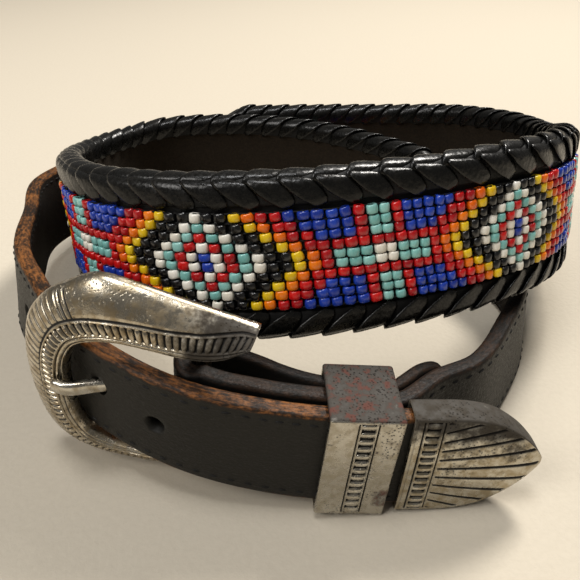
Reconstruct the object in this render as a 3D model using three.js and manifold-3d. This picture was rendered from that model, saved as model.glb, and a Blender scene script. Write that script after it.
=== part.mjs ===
// A western belt with a loom-beaded body, laced edges and a three-piece silver buckle set.
// It is buckled and lies as a coil of two turns: the billet and the buckle strap stand on
// the ground, and the front of the beaded turn lies on top of them.
// Millimetres, +Z up. The buckle is at the front (-Y) and the coil goes back to +Y.
import * as THREE from 'three';
import { mergeVertices } from 'three/addons/utils/BufferGeometryUtils.js';
import Module from 'manifold-3d';

const wasm = await Module();
wasm.setup();

// Leather
const BODY_WIDTH = 38.1; // over the laced edges
const STRAP_WIDTH = 25.4; // billet and buckle strap
const LEATHER = 4;
const FOLD_LEATHER = 3; // skived end that is folded back behind the bar
const EDGE_BEVEL = 0.7;
const BODY_TAPER = 24; // length in which the body narrows to the strap, at each end
const LACING_INSET = 9; // the lacing starts this far along the taper
const FOLD_END_ROUND = 7;
const FOLD_PAST_KEEPER = 16;
const GAP = 0.3; // between neighbouring pieces

// Laced edges
const LACING_FACE = 7.8; // reach over the outer face
const LACING_PROUD = 1.9; // above the outer face of the leather
const LACING_BACK = 1.5; // above its inner face
const LACING_CREST = 1.2; // beyond its edge

// Bead strip
const BEAD_TO_LACING = 0.25; // clearance on each side of the strip
const BEAD_STRIP_WIDTH = BODY_WIDTH - 2 * (LACING_FACE + BEAD_TO_LACING);
const BEAD_DEPTH = 2.4;
const BEAD_STRIP_INSET = 2; // the strip stops short of the lacing's ends

// Coil, over the leather's middle
const COIL_WIDTH = 160;
const COIL_DEPTH = 157;
const FRONT_LIFT = 28.5; // lower edge of the beaded turn at the front

// Buckle set
const BUCKLE_LENGTH = 50.8;
const BUCKLE_HEIGHT = 50;
const BUCKLE_METAL = 3.2;
const BUCKLE_DOME = 5; // fall from the window's edge to the outer edge
const BUCKLE_RISE = 0.8; // the strap lies low in the window
const BAR_DIAMETER = 3.2;
const BAR_LENGTH = 37.5;
const LUG_WIDTH = 2.4; // a lug at each end holds the bar behind the frame
const LUG_HEIGHT = 5.2;
const BAR_TO_RIM = 33;
const DOME_TOP = 6.6; // front of the window's edge before the bar's axis
const RIM_OUT = 4.8; // the buckle's plane at the rim, before the billet's middle
const PRONG_WIDTH = 3.4;
const PRONG_THICKNESS = 2.2;
const PRONG_REACH = 30.5; // from the bar to the prong's end
const PRONG_RISE = 2.6; // the prong has slid up the bar to the billet's hole
const SLOT_LENGTH = 13; // slot in the fold for the prong
const HOLE_DIAMETER = 4.6;
const HOLE_PITCH = 16;
const HOLE_COUNT = 5;
const TIP_TO_FIRST_HOLE = 62.5; // from the billet's end to the first hole
const BAR_BEFORE_HOLE = 21.5; // the bar lies this far before the hole in use
const HOLE_IN_USE = 2;
const KEEPER_LENGTH = 14.8;
const KEEPER_WALL = 1.2;
const KEEPER_SLACK = 0.4; // above and below the straps
const KEEPER_TURN = 2.5; // degrees that it has turned about its height, within its slack
const LAYER_SLACK = 1.2; // between billet and buckle strap inside the keeper
const TIP_TO_KEEPER = 20.5; // from the billet's end to the keeper's middle
const TIP_LENGTH = 29.5;
const TIP_WALL = 0.75;
const TIP_MOUTH = 10.5; // from the billet's end to the tip's mouth

const HOLE_STEPS = 12; // sides of a hole
const STATION_STEP = 8.5; // along a strap
const FOLLOW_BEFORE_KEEPER = 3; // the buckle strap starts to follow the billet here

// Where the lower edge of the belt runs, travelling from the tip. x and y are shares of the
// coil's width and depth, from its middle and from its front strap. lift is a share of the
// lift named with each table. lean is the top edge's lean outward, in degrees, and layer
// counts the laced layers that lie inside this one.
const BILLET_LIFT = (BUCKLE_HEIGHT - STRAP_WIDTH) / 2;
const BILLET_ROWS = [
  { x: 0.300, y: 0.028, lift: 0.06, lean: 0, layer: 0 },
  { x: 0.181, y: 0.011, lift: 0.10, lean: 0, layer: 0 },
  { x: 0.062, y: 0.002, lift: 0.20, lean: 1, layer: 0 },
  { x: -0.056, y: 0.006, lift: 0.38, lean: 2, layer: 0 },
  { x: -0.153, y: 0.021, lift: 0.62, lean: 3, layer: 0 },
  { x: -0.231, y: 0.052, lift: 0.80, lean: 2, layer: 0 },
  { x: -0.319, y: 0.112, lift: 0.96, lean: 0, layer: 0 },
  { x: -0.403, y: 0.207, lift: 0.98, lean: -6, layer: 0 },
  { x: -0.478, y: 0.322, lift: 0.92, lean: -10, layer: 0 },
  { x: -0.512, y: 0.470, lift: 0.78, lean: -8, layer: 0 },
  { x: -0.487, y: 0.616, lift: 0.60, lean: -3, layer: 1 },
  { x: -0.448, y: 0.746, lift: 0.42, lean: 0, layer: 1 },
  { x: -0.388, y: 0.848, lift: 0.25, lean: 0, layer: 1 },
];
const BODY_ROWS = [
  { x: -0.262, y: 0.918, lift: 0.06, lean: 0, layer: 1 },
  { x: -0.076, y: 0.940, lift: 0.015, lean: 0, layer: 1 },
  { x: 0.150, y: 0.946, lift: 0.015, lean: 0, layer: 1 },
  { x: 0.345, y: 0.916, lift: 0.07, lean: 0, layer: 1 },
  { x: 0.446, y: 0.794, lift: 0.19, lean: -2, layer: 1 },
  { x: 0.450, y: 0.618, lift: 0.38, lean: -4, layer: 1 },
  { x: 0.453, y: 0.449, lift: 0.72, lean: -7, layer: 0 },
  { x: 0.376, y: 0.315, lift: 0.92, lean: -11, layer: 0 },
  { x: 0.253, y: 0.222, lift: 1, lean: -12, layer: 0 },
  { x: 0.106, y: 0.176, lift: 0.98, lean: -13, layer: 0 },
  { x: -0.056, y: 0.166, lift: 0.92, lean: -13, layer: 0 },
  { x: -0.203, y: 0.210, lift: 0.81, lean: -11, layer: 0 },
  { x: -0.331, y: 0.325, lift: 0.62, lean: -5, layer: 0 },
  { x: -0.400, y: 0.481, lift: 0.39, lean: 2, layer: 0 },
  { x: -0.430, y: 0.653, lift: 0.14, lean: 4, layer: 0 },
  { x: -0.402, y: 0.812, lift: 0.01, lean: 1, layer: 0 },
  { x: -0.319, y: 0.903, lift: 0, lean: 0, layer: 0 },
  { x: -0.156, y: 0.929, lift: 0, lean: 0, layer: 0 },
  { x: 0.006, y: 0.894, lift: 0, lean: 0, layer: 0 },
  { x: 0.141, y: 0.813, lift: 0, lean: 0, layer: 0 },
  { x: 0.256, y: 0.704, lift: 0.012, lean: 0, layer: 0 },
  { x: 0.350, y: 0.576, lift: 0.06, lean: -3, layer: 0 },
];
const STRAP_ROWS = [
  { x: 0.398, y: 0.446, lift: 0.04, lean: -6, layer: 0 },
  { x: 0.372, y: 0.315, lift: 0.04, lean: -7, layer: 0 },
  { x: 0.309, y: 0.200, lift: 0.05, lean: -6, layer: 0 },
  { x: 0.238, y: 0.115, lift: 0.08, lean: -2, layer: 0 },
  { x: 0.172, y: 0.080, lift: 0.12, lean: 0, layer: 0 },
];
const ROWS_SHARED_WITH_BILLET = 3; // body rows that the first, rough route needs

const UP = new THREE.Vector3(0, 0, 1);
const LAYER_STEP = LEATHER + BEAD_DEPTH + LACING_BACK + 2 * GAP;
const COIL_CENTRE = new THREE.Vector3(0, COIL_DEPTH / 2, 0);
const STRAP_STEP = LEATHER + 1.5 * GAP;
const BAR_HOLD = BAR_DIAMETER / 2 + 3 * GAP; // from the bar's axis to the leather round it
const KEEPER_STEP = LEATHER + LAYER_SLACK;

const leatherLook = new THREE.MeshStandardMaterial({ color: 0x1d1714, roughness: 0.55 });
const edgeLook = new THREE.MeshStandardMaterial({ color: 0x15120f, roughness: 0.35 });
const beadLook = new THREE.MeshStandardMaterial({ color: 0x2442a8, roughness: 0.2 });
const silverLook = new THREE.MeshStandardMaterial({ color: 0xb5aa98, roughness: 0.35, metalness: 1 });

// Closed meshes and solids

function signedVolume(geometry) {
  const place = geometry.getAttribute('position');
  const index = geometry.getIndex();
  const [a, b, c] = [new THREE.Vector3(), new THREE.Vector3(), new THREE.Vector3()];
  let volume = 0;
  for (let i = 0; i < index.count; i += 3) {
    a.fromBufferAttribute(place, index.getX(i));
    b.fromBufferAttribute(place, index.getX(i + 1));
    c.fromBufferAttribute(place, index.getX(i + 2));
    volume += a.dot(b.cross(c)) / 6;
  }
  return volume;
}

function facingOut(geometry) {
  if (signedVolume(geometry) < 0) {
    const index = geometry.getIndex();
    for (let i = 0; i < index.count; i += 3) {
      const second = index.getX(i + 1);
      index.setX(i + 1, index.getX(i + 2));
      index.setX(i + 2, second);
    }
  }
  return geometry;
}

function merged(geometry) {
  const bare = geometry.clone();
  bare.deleteAttribute('normal');
  bare.deleteAttribute('uv');
  return facingOut(mergeVertices(bare, 1e-4));
}

function toSolid(geometry) {
  const mesh = merged(geometry);
  return new wasm.Manifold(new wasm.Mesh({
    numProp: 3,
    vertProperties: new Float32Array(mesh.getAttribute('position').array),
    triVerts: new Uint32Array(mesh.getIndex().array),
  }));
}

function toGeometry(solid) {
  const mesh = solid.getMesh();
  const geometry = new THREE.BufferGeometry();
  geometry.setAttribute('position', new THREE.BufferAttribute(new Float32Array(mesh.vertProperties), 3));
  geometry.setIndex(new THREE.BufferAttribute(new Uint32Array(mesh.triVerts), 1));
  return geometry;
}

function cut(geometry, tools) {
  return toGeometry(tools.reduce((rest, tool) => rest.subtract(toSolid(tool)), toSolid(geometry)));
}

function join(pieces) {
  return toGeometry(pieces.map(toSolid).reduce((whole, piece) => whole.add(piece)));
}

// Rings of points, all of one length, become a closed skin with flat ends.
function loft(rings) {
  const count = rings[0].length;
  const places = rings.flat().flatMap((point) => point.toArray());
  const triangles = [];
  for (let i = 0; i + 1 < rings.length; i += 1) {
    for (let j = 0; j < count; j += 1) {
      const next = (j + 1) % count;
      const [a, b] = [i * count + j, i * count + next];
      triangles.push(a, b, b + count, a, b + count, a + count);
    }
  }
  for (const [ring, first] of [[rings[0], 0], [rings.at(-1), (rings.length - 1) * count]]) {
    const faces = flatFaces(ring);
    const turned = first === 0;
    for (const [a, b, c] of faces) {
      triangles.push(first + a, first + (turned ? c : b), first + (turned ? b : c));
    }
  }
  const geometry = new THREE.BufferGeometry();
  geometry.setAttribute('position', new THREE.Float32BufferAttribute(places, 3));
  geometry.setIndex(triangles);
  return facingOut(geometry);
}

// Triangles over a flat ring of points, turned the way the ring runs.
function flatFaces(ring) {
  const middle = ring.reduce((sum, point) => sum.add(point), new THREE.Vector3());
  middle.divideScalar(ring.length);
  const normal = new THREE.Vector3();
  ring.forEach((point, i) => {
    const next = ring[(i + 1) % ring.length];
    normal.add(point.clone().sub(middle).cross(next.clone().sub(middle)));
  });
  normal.normalize();
  const side = ring[1].clone().sub(ring[0]).normalize();
  const other = normal.clone().cross(side);
  const flat = ring.map((point) => new THREE.Vector2(point.dot(side), point.dot(other)));
  return THREE.ShapeUtils.triangulateShape(flat, []);
}

// The route

function placeRow(row, lift) {
  const point = new THREE.Vector3(row.x * COIL_WIDTH, row.y * COIL_DEPTH, row.lift * lift);
  const outward = point.clone().sub(COIL_CENTRE).setZ(0).normalize();
  return point.addScaledVector(outward, row.layer * LAYER_STEP);
}

function frameAlong(foot, along, lean) {
  const level = UP.clone().cross(along).normalize();
  const rise = along.clone().cross(level).normalize();
  const angle = THREE.MathUtils.degToRad(lean);
  const up = rise.clone().multiplyScalar(Math.cos(angle)).addScaledVector(level, Math.sin(angle));
  const out = level.clone().multiplyScalar(Math.cos(angle)).addScaledVector(rise, -Math.sin(angle));
  return { foot, along: along.clone(), out, up };
}

// A smooth curve through points, read by the distance travelled along it.
function traceRoute(points, leans) {
  const curve = new THREE.CatmullRomCurve3(points, false, 'centripetal');
  const spans = points.length - 1;
  const STEPS_PER_SPAN = 24;
  const marks = [{ share: 0, distance: 0, point: curve.getPoint(0) }];
  for (let i = 1; i <= spans * STEPS_PER_SPAN; i += 1) {
    const share = i / (spans * STEPS_PER_SPAN);
    const point = curve.getPoint(share);
    const last = marks.at(-1);
    marks.push({ share, distance: last.distance + point.distanceTo(last.point), point });
  }
  const length = marks.at(-1).distance;
  const shareAt = (distance) => {
    const held = THREE.MathUtils.clamp(distance, 0, length);
    const next = Math.max(1, marks.findIndex((mark) => mark.distance >= held - 1e-9));
    const [a, b] = [marks[next - 1], marks[next]];
    return a.share + (b.share - a.share) * (held - a.distance) / (b.distance - a.distance);
  };
  const at = (distance) => {
    const share = shareAt(distance);
    const ahead = curve.getPoint(shareAt(distance + 0.5));
    const along = ahead.sub(curve.getPoint(shareAt(distance - 0.5))).normalize();
    const row = share * spans;
    const low = Math.min(Math.floor(row), spans - 1);
    const lean = THREE.MathUtils.lerp(leans[low], leans[low + 1], row - low);
    return frameAlong(curve.getPoint(share), along, lean);
  };
  const distanceOfRow = (row) => marks[row * STEPS_PER_SPAN].distance;
  return { length, at, distanceOfRow };
}

function spread(from, to, step) {
  const count = Math.max(1, Math.round((to - from) / step));
  return Array.from({ length: count + 1 }, (_, i) => from + (to - from) * i / count);
}

const billetPoints = BILLET_ROWS.map((row) => placeRow(row, BILLET_LIFT));
const bodyPoints = BODY_ROWS.map((row) => placeRow(row, FRONT_LIFT));
const strapPoints = STRAP_ROWS.map((row) => placeRow(row, BILLET_LIFT));
const leansOf = (rows) => rows.map((row) => row.lean);

const roughRoute = traceRoute(
  [...billetPoints, ...bodyPoints.slice(0, ROWS_SHARED_WITH_BILLET)],
  leansOf([...BILLET_ROWS, ...BODY_ROWS.slice(0, ROWS_SHARED_WITH_BILLET)]),
);

// Distances along the billet, from its end inside the tip
const tipStart = 19.5; // the route starts this far before the billet's end
const keeperAt = tipStart + TIP_TO_KEEPER;
const holesAt = Array.from({ length: HOLE_COUNT }, (_, i) => tipStart + TIP_TO_FIRST_HOLE + i * HOLE_PITCH);
const barAt = holesAt[HOLE_IN_USE - 1] - BAR_BEFORE_HOLE;
const barToKeeper = barAt - keeperAt - KEEPER_LENGTH / 2;
const foldLength = barToKeeper + KEEPER_LENGTH + FOLD_PAST_KEEPER;

// Inside the keeper the buckle strap lies behind the billet with some slack, and at the bar
// it lies against it.
function strapOffset(distance) {
  const share = THREE.MathUtils.smoothstep(distance, keeperAt, barAt);
  return -THREE.MathUtils.lerp(KEEPER_STEP, STRAP_STEP, share);
}

const followFrom = keeperAt - KEEPER_LENGTH / 2 - FOLLOW_BEFORE_KEEPER;
const followed = spread(followFrom, barAt, STATION_STEP);
const followPoints = followed.map((distance) => {
  const frame = roughRoute.at(distance);
  return frame.foot.clone().addScaledVector(frame.out, strapOffset(distance));
});
const followLeans = followed.map(() => 1.5);

const route = traceRoute(
  [...billetPoints, ...bodyPoints, ...strapPoints, ...followPoints],
  [...leansOf([...BILLET_ROWS, ...BODY_ROWS, ...STRAP_ROWS]), ...followLeans],
);
const bodyFrom = route.distanceOfRow(BILLET_ROWS.length);
const bodyTo = route.distanceOfRow(BILLET_ROWS.length + BODY_ROWS.length - 1);
const strapBarAt = route.length;

// Half the belt's full width at a place along the route, over the laced edges.
function halfWidth(distance) {
  const into = Math.min(distance - bodyFrom, bodyTo - distance);
  const share = THREE.MathUtils.clamp(into / BODY_TAPER, 0, 1);
  return THREE.MathUtils.lerp(STRAP_WIDTH, BODY_WIDTH, share) / 2;
}

function stationAt(distance) {
  const frame = route.at(distance);
  const middle = frame.foot.clone().addScaledVector(frame.up, halfWidth(distance));
  return { ...frame, middle, distance };
}

function place(station, outward, upward) {
  return station.middle.clone()
    .addScaledVector(station.out, outward)
    .addScaledVector(station.up, upward);
}

// Sweeps a section, given as outward and upward distances from the middle, through stations.
function sweep(stations, sectionOf) {
  return loft(stations.map((station, i) => sectionOf(station, i)
    .map(([outward, upward]) => place(station, outward, upward))));
}

function strapSection(thickness, low, high) {
  const side = thickness / 2;
  const inner = side - EDGE_BEVEL;
  return [
    [-inner, low], [inner, low], [side, low + EDGE_BEVEL], [side, high - EDGE_BEVEL],
    [inner, high], [-inner, high], [-side, high - EDGE_BEVEL], [-side, low + EDGE_BEVEL],
  ];
}

// Holes and frames in the billet

function basis(along, up, out) {
  return new THREE.Matrix4().makeBasis(along, up, out);
}

function holeTool(distance) {
  const station = stationAt(distance);
  const tool = new THREE.CylinderGeometry(HOLE_DIAMETER / 2, HOLE_DIAMETER / 2, LEATHER * 3, HOLE_STEPS);
  tool.rotateX(Math.PI / 2);
  tool.applyMatrix4(basis(station.along, station.up, station.out).setPosition(station.middle));
  return tool;
}

// Where the buckle sits: its origin is on the bar, its axes run along to the rim, up, and out.
function buckleSeat() {
  const atBar = stationAt(barAt);
  const origin = place(atBar, -(LEATHER / 2 + STRAP_STEP + BAR_HOLD), BUCKLE_RISE);
  const atRim = stationAt(barAt + BAR_TO_RIM);
  const rim = place(atRim, RIM_OUT, BUCKLE_RISE);
  const along = rim.sub(origin).normalize();
  const up = atBar.up.clone().addScaledVector(along, -atBar.up.dot(along)).normalize();
  const out = along.clone().cross(up).negate();
  if (out.dot(atBar.out) < 0) {
    out.negate();
  }
  return { origin, along, up, out };
}

// The frame's outline from the middle of the rim to the end of the wing, outer edge first.
// along is a share of the buckle's length, upper and lower of half its height, which the
// upper arm's shoulder rises past. The window's edge is the inner one. The lower arm is the
// slimmer one, and lies level on the ground.
const FRAME_ROWS = [
  { along: [0.770, 0.552], upper: [0, 0], lower: [0, 0] },
  { along: [0.760, 0.548], upper: [0.31, 0.19], lower: [0.31, 0.19] },
  { along: [0.722, 0.527], upper: [0.60, 0.38], lower: [0.62, 0.38] },
  { along: [0.640, 0.479], upper: [0.84, 0.54], lower: [0.83, 0.53] },
  { along: [0.527, 0.398], upper: [1.01, 0.62], lower: [0.92, 0.59] },
  { along: [0.406, 0.304], upper: [1.13, 0.65], lower: [0.93, 0.61] },
  { along: [0.254, 0.193], upper: [1.10, 0.65], lower: [0.915, 0.61] },
  { along: [0.101, 0.071], upper: [1.04, 0.64], lower: [0.86, 0.61] },
  { along: [-0.041, -0.030], upper: [0.99, 0.66], lower: [0.82, 0.61] },
  { along: [-0.142, -0.105], upper: [0.955, 0.72], lower: [0.79, 0.62] },
  { along: [-0.203, -0.174], upper: [0.935, 0.83], lower: [0.77, 0.66] },
  { along: [-0.221, -0.211], upper: [0.92, 0.89], lower: [0.75, 0.69] },
];
// Across the frame: share of the way from the window's edge to the outer edge, and the
// fall of the front as a share of the dome.
const DOME_ROWS = [
  { share: 0, fall: 0.24 },
  { share: 0.1, fall: 0 },
  { share: 0.4, fall: 0.08 },
  { share: 0.75, fall: 0.45 },
  { share: 0.94, fall: 0.82 },
  { share: 1, fall: 1.05 },
];

function frameSection(row, side, seat) {
  const [outerAlong, innerAlong] = row.along.map((share) => share * BUCKLE_LENGTH);
  const [outerUp, innerUp] = (side > 0 ? row.upper : row.lower).map((share) => share * BUCKLE_HEIGHT / 2);
  const point = (share, out) => seatPoint(
    seat,
    THREE.MathUtils.lerp(innerAlong, outerAlong, share),
    side * THREE.MathUtils.lerp(innerUp, outerUp, share),
    out,
  );
  const front = DOME_ROWS.map(({ share, fall }) => point(share, DOME_TOP - fall * BUCKLE_DOME));
  const back = [0.97, 0.7, 0.35, 0.05].map((share) => {
    const fall = share * share * BUCKLE_DOME;
    return point(share, DOME_TOP - BUCKLE_METAL - fall * 0.85);
  });
  return [...front, ...back];
}

function seatPoint(seat, along, up, out) {
  return seat.origin.clone()
    .addScaledVector(seat.along, along)
    .addScaledVector(seat.up, up)
    .addScaledVector(seat.out, out);
}

function makeFrame(seat) {
  const lower = FRAME_ROWS.slice(1).reverse().map((row) => frameSection(row, -1, seat));
  const upper = FRAME_ROWS.map((row) => frameSection(row, 1, seat));
  const ring = loft([...lower, ...upper]);
  const bar = new THREE.CylinderGeometry(BAR_DIAMETER / 2, BAR_DIAMETER / 2, BAR_LENGTH, HOLE_STEPS);
  const lugs = [-1, 1].map((side) => {
    const lug = new THREE.BoxGeometry(BAR_DIAMETER, LUG_WIDTH, LUG_HEIGHT);
    return lug.translate(0, side * (BAR_LENGTH - LUG_WIDTH) / 2, (LUG_HEIGHT - BAR_DIAMETER) / 2);
  });
  const posed = [bar, ...lugs].map((piece) => piece
    .applyMatrix4(basis(seat.along, seat.up, seat.out).setPosition(seat.origin)));
  return join([ring, ...posed]);
}

// The prong hooks round the bar, runs through the billet and rests on the rim.
function prongPath() {
  const hook = BAR_DIAMETER / 2 + GAP + PRONG_THICKNESS / 2;
  const path = [];
  for (let angle = -30; angle >= -270; angle -= 30) {
    const turn = THREE.MathUtils.degToRad(angle);
    path.push([hook * Math.cos(turn), hook * Math.sin(turn)]);
  }
  const rest = DOME_TOP + GAP + PRONG_THICKNESS / 2;
  path.push([PRONG_REACH * 0.3, THREE.MathUtils.lerp(hook, rest, -0.08)]);
  path.push([PRONG_REACH * 0.5, THREE.MathUtils.lerp(hook, rest, 0.06)]);
  path.push([PRONG_REACH * 0.7, THREE.MathUtils.lerp(hook, rest, 0.55)]);
  path.push([PRONG_REACH * 0.86, rest]);
  path.push([PRONG_REACH * 0.95, rest - 0.1]);
  path.push([PRONG_REACH, rest - 0.3]);
  return path;
}

function makeProng(seat, extra, endScales) {
  const path = prongPath();
  const rings = path.map(([along, out], i) => {
    const [a, b] = [path[Math.max(0, i - 1)], path[Math.min(path.length - 1, i + 1)]];
    const [stepAlong, stepOut] = [b[0] - a[0], b[1] - a[1]];
    const size = Math.hypot(stepAlong, stepOut);
    const fromEnd = path.length - 1 - i;
    const scale = endScales[fromEnd] ?? 1;
    return Array.from({ length: 8 }, (_, k) => {
      const turn = (k + 0.5) * Math.PI / 4;
      const across = Math.cos(turn) * (PRONG_WIDTH / 2 + extra) * scale * 1.06;
      const thick = Math.sin(turn) * (PRONG_THICKNESS / 2 + extra) * scale * 1.06;
      const outward = out + thick * stepAlong / size;
      return seatPoint(seat, along - thick * stepOut / size, PRONG_RISE + across, outward);
    });
  });
  return loft(rings);
}

// Straps

function makeBillet(seat) {
  const stations = spread(tipStart, bodyFrom - GAP, STATION_STEP).map(stationAt);
  const half = STRAP_WIDTH / 2;
  const strap = sweep(stations, () => strapSection(LEATHER, -half, half));
  const free = holesAt.filter((_, i) => i !== HOLE_IN_USE - 1).map(holeTool);
  return cut(strap, [...free, makeProng(seat, GAP, [])]);
}

function bodyLeatherHalf(distance) {
  const full = BODY_WIDTH / 2 - LACING_CREST - GAP;
  const into = Math.min(distance - bodyFrom, bodyTo - distance);
  const share = THREE.MathUtils.clamp(into / BODY_TAPER, 0, 1);
  return THREE.MathUtils.lerp(STRAP_WIDTH / 2, full, share);
}

const wideFrom = bodyFrom + BODY_TAPER;
const wideTo = bodyTo - BODY_TAPER;
const lacedDistances = [
  ...spread(bodyFrom + LACING_INSET, wideFrom, STATION_STEP).slice(0, -1),
  ...spread(wideFrom, wideTo, STATION_STEP),
  ...spread(wideTo, bodyTo - LACING_INSET, STATION_STEP).slice(1),
];
const lacedStations = lacedDistances.map(stationAt);

function makeBody() {
  return sweep([stationAt(bodyFrom), ...lacedStations, stationAt(bodyTo)], (station) => {
    const half = bodyLeatherHalf(station.distance);
    const section = strapSection(LEATHER, -half, half);
    const face = [-0.5, 0, 0.5].map((share) => [LEATHER / 2, share * half]);
    const back = [0.5, 0, -0.5].map((share) => [-LEATHER / 2, share * half]);
    return [...section.slice(0, 3), ...face, ...section.slice(3, 7), ...back, section[7]];
  });
}

function makeBeadStrip() {
  const low = LEATHER / 2 + GAP;
  const high = LEATHER / 2 + BEAD_DEPTH;
  const half = BEAD_STRIP_WIDTH / 2;
  const round = BEAD_DEPTH / 4;
  const from = wideFrom + BEAD_STRIP_INSET;
  const to = wideTo - BEAD_STRIP_INSET;
  const inside = lacedDistances.filter((distance) => distance > from + 1 && distance < to - 1);
  const distances = [from, ...inside, to];
  return sweep(distances.map(stationAt), () => [
    [low, half], [high - round, half], [high, half - round],
    [high, round - half], [high - round, -half], [low, -half],
    [low, -half / 2], [low, 0], [low, half / 2],
  ]);
}

// A laced edge wraps the leather's edge: an open channel in section. side is 1 on top.
function makeLacing(side) {
  const face = LEATHER / 2 + LACING_PROUD;
  const back = LEATHER / 2 + LACING_BACK;
  const seat = LEATHER / 2 + GAP;
  const floor = -LACING_CREST;
  const outline = [
    [seat, -LACING_FACE], [face * 0.8, -LACING_FACE], [face, -LACING_FACE * 0.88],
    [face, -LACING_FACE * 0.34], [face * 0.76, -LACING_FACE * 0.1],
    [face * 0.3, 0], [-back * 0.3, 0], [-back * 0.78, -LACING_FACE * 0.1],
    [-back, -LACING_FACE * 0.34], [-back, -LACING_FACE * 0.84],
    [-back * 0.84, -LACING_FACE * 0.95], [-seat, -LACING_FACE * 0.95],
    [-seat, floor], [seat, floor],
  ];
  return sweep(lacedStations, (station) => {
    const crest = bodyLeatherHalf(station.distance) + GAP + LACING_CREST;
    const section = outline.map(([outward, inward]) => [outward, side * (crest + inward)]);
    return side > 0 ? section.reverse() : section;
  });
}

// The buckle strap follows its route to the bar, turns round it and comes back as the fold.
function makeBuckleStrap(seat) {
  const half = STRAP_WIDTH / 2;
  const incoming = spread(bodyTo + GAP, strapBarAt, STATION_STEP).map(stationAt);
  const atBar = stationAt(strapBarAt);
  const along = atBar.along.clone().addScaledVector(seat.up, -atBar.along.dot(seat.up)).normalize();
  const front = atBar.out.clone().addScaledVector(seat.up, -atBar.out.dot(seat.up)).normalize();
  const turned = [];
  for (let angle = 22.5; angle <= 157.5; angle += 22.5) {
    const turn = THREE.MathUtils.degToRad(angle);
    const thickness = THREE.MathUtils.lerp(LEATHER, FOLD_LEATHER, angle / 180);
    const out = front.clone().multiplyScalar(Math.cos(turn)).addScaledVector(along, Math.sin(turn));
    const middle = seatPoint(seat, 0, -BUCKLE_RISE, 0).addScaledVector(out, BAR_HOLD + thickness / 2);
    turned.push({ middle, out, up: seat.up, thickness });
  }
  const back = spread(0, foldLength, STATION_STEP);
  const folded = [...back.slice(0, -1), foldLength - FOLD_END_ROUND * 0.35, foldLength].map((distance) => {
    const under = stationAt(strapBarAt - distance);
    const share = THREE.MathUtils.smoothstep(distance, 0, barToKeeper);
    const touching = LEATHER / 2 + GAP + FOLD_LEATHER / 2;
    const apart = BAR_HOLD * 2 + LEATHER / 2 + FOLD_LEATHER / 2;
    const offset = THREE.MathUtils.lerp(apart, touching, share);
    const middle = place(under, -offset, 0);
    return { middle, out: under.out.clone().negate(), up: under.up, thickness: FOLD_LEATHER, distance };
  });
  const strap = sweep([...incoming, ...turned, ...folded], (station) => {
    const thickness = station.thickness ?? LEATHER;
    const left = foldLength - (station.distance ?? 0);
    const rounding = station.thickness === FOLD_LEATHER ? endRound(left) : 1;
    return strapSection(thickness, -half * rounding, half * rounding);
  });
  const slot = new THREE.BoxGeometry(SLOT_LENGTH, PRONG_WIDTH + 4 * GAP, 4 * LEATHER + BAR_DIAMETER);
  const slotMiddle = seatPoint(seat, SLOT_LENGTH * 0.1, PRONG_RISE, 0);
  slot.applyMatrix4(basis(seat.along, seat.up, seat.out).setPosition(slotMiddle));
  return cut(strap, [slot]);
}

function endRound(left) {
  const share = THREE.MathUtils.clamp(left / FOLD_END_ROUND, 0, 1);
  return 0.72 + 0.28 * Math.sqrt(1 - (1 - share) ** 2);
}

// Keeper and tip

function roundedBox(low, high, bottom, top, radius) {
  const shape = new THREE.Shape();
  shape.moveTo(low + radius, bottom);
  shape.lineTo(high - radius, bottom);
  shape.absarc(high - radius, bottom + radius, radius, -Math.PI / 2, 0, false);
  shape.lineTo(high, top - radius);
  shape.absarc(high - radius, top - radius, radius, 0, Math.PI / 2, false);
  shape.lineTo(low + radius, top);
  shape.absarc(low + radius, top - radius, radius, Math.PI / 2, Math.PI, false);
  shape.lineTo(low, bottom + radius);
  shape.absarc(low + radius, bottom + radius, radius, Math.PI, Math.PI * 1.5, false);
  return shape;
}

function makeKeeper() {
  const station = stationAt(keeperAt);
  const turn = THREE.MathUtils.degToRad(KEEPER_TURN);
  const room = KEEPER_LENGTH / 2 * Math.sin(turn) + GAP;
  const front = LEATHER / 2 + room;
  const back = -(KEEPER_STEP + LEATHER / 2 + GAP + FOLD_LEATHER + room + GAP);
  const half = STRAP_WIDTH / 2 + KEEPER_SLACK;
  const wall = KEEPER_WALL;
  const shape = roundedBox(back - wall, front + wall, -half - wall, half + wall, wall);
  shape.holes.push(roundedBox(back, front, -half, half, wall / 3));
  const loop = new THREE.ExtrudeGeometry(shape, { depth: KEEPER_LENGTH, bevelEnabled: false, curveSegments: 3 });
  loop.translate(0, 0, -KEEPER_LENGTH / 2);
  loop.rotateY(turn);
  loop.applyMatrix4(basis(station.out, station.up, station.along).setPosition(station.middle));
  return merged(loop);
}

// The tip's outline from the mouth to the point: share of its length, share of half its height
const TIP_ROWS = [
  { along: 0, half: 1, thick: 1 },
  { along: 0.2, half: 1, thick: 1 },
  { along: 0.4, half: 0.98, thick: 1 },
  { along: 0.6, half: 0.87, thick: 0.95 },
  { along: 0.78, half: 0.62, thick: 0.85 },
  { along: 0.9, half: 0.37, thick: 0.73 },
  { along: 0.97, half: 0.18, thick: 0.6 },
  { along: 1, half: 0.08, thick: 0.5 },
];

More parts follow.
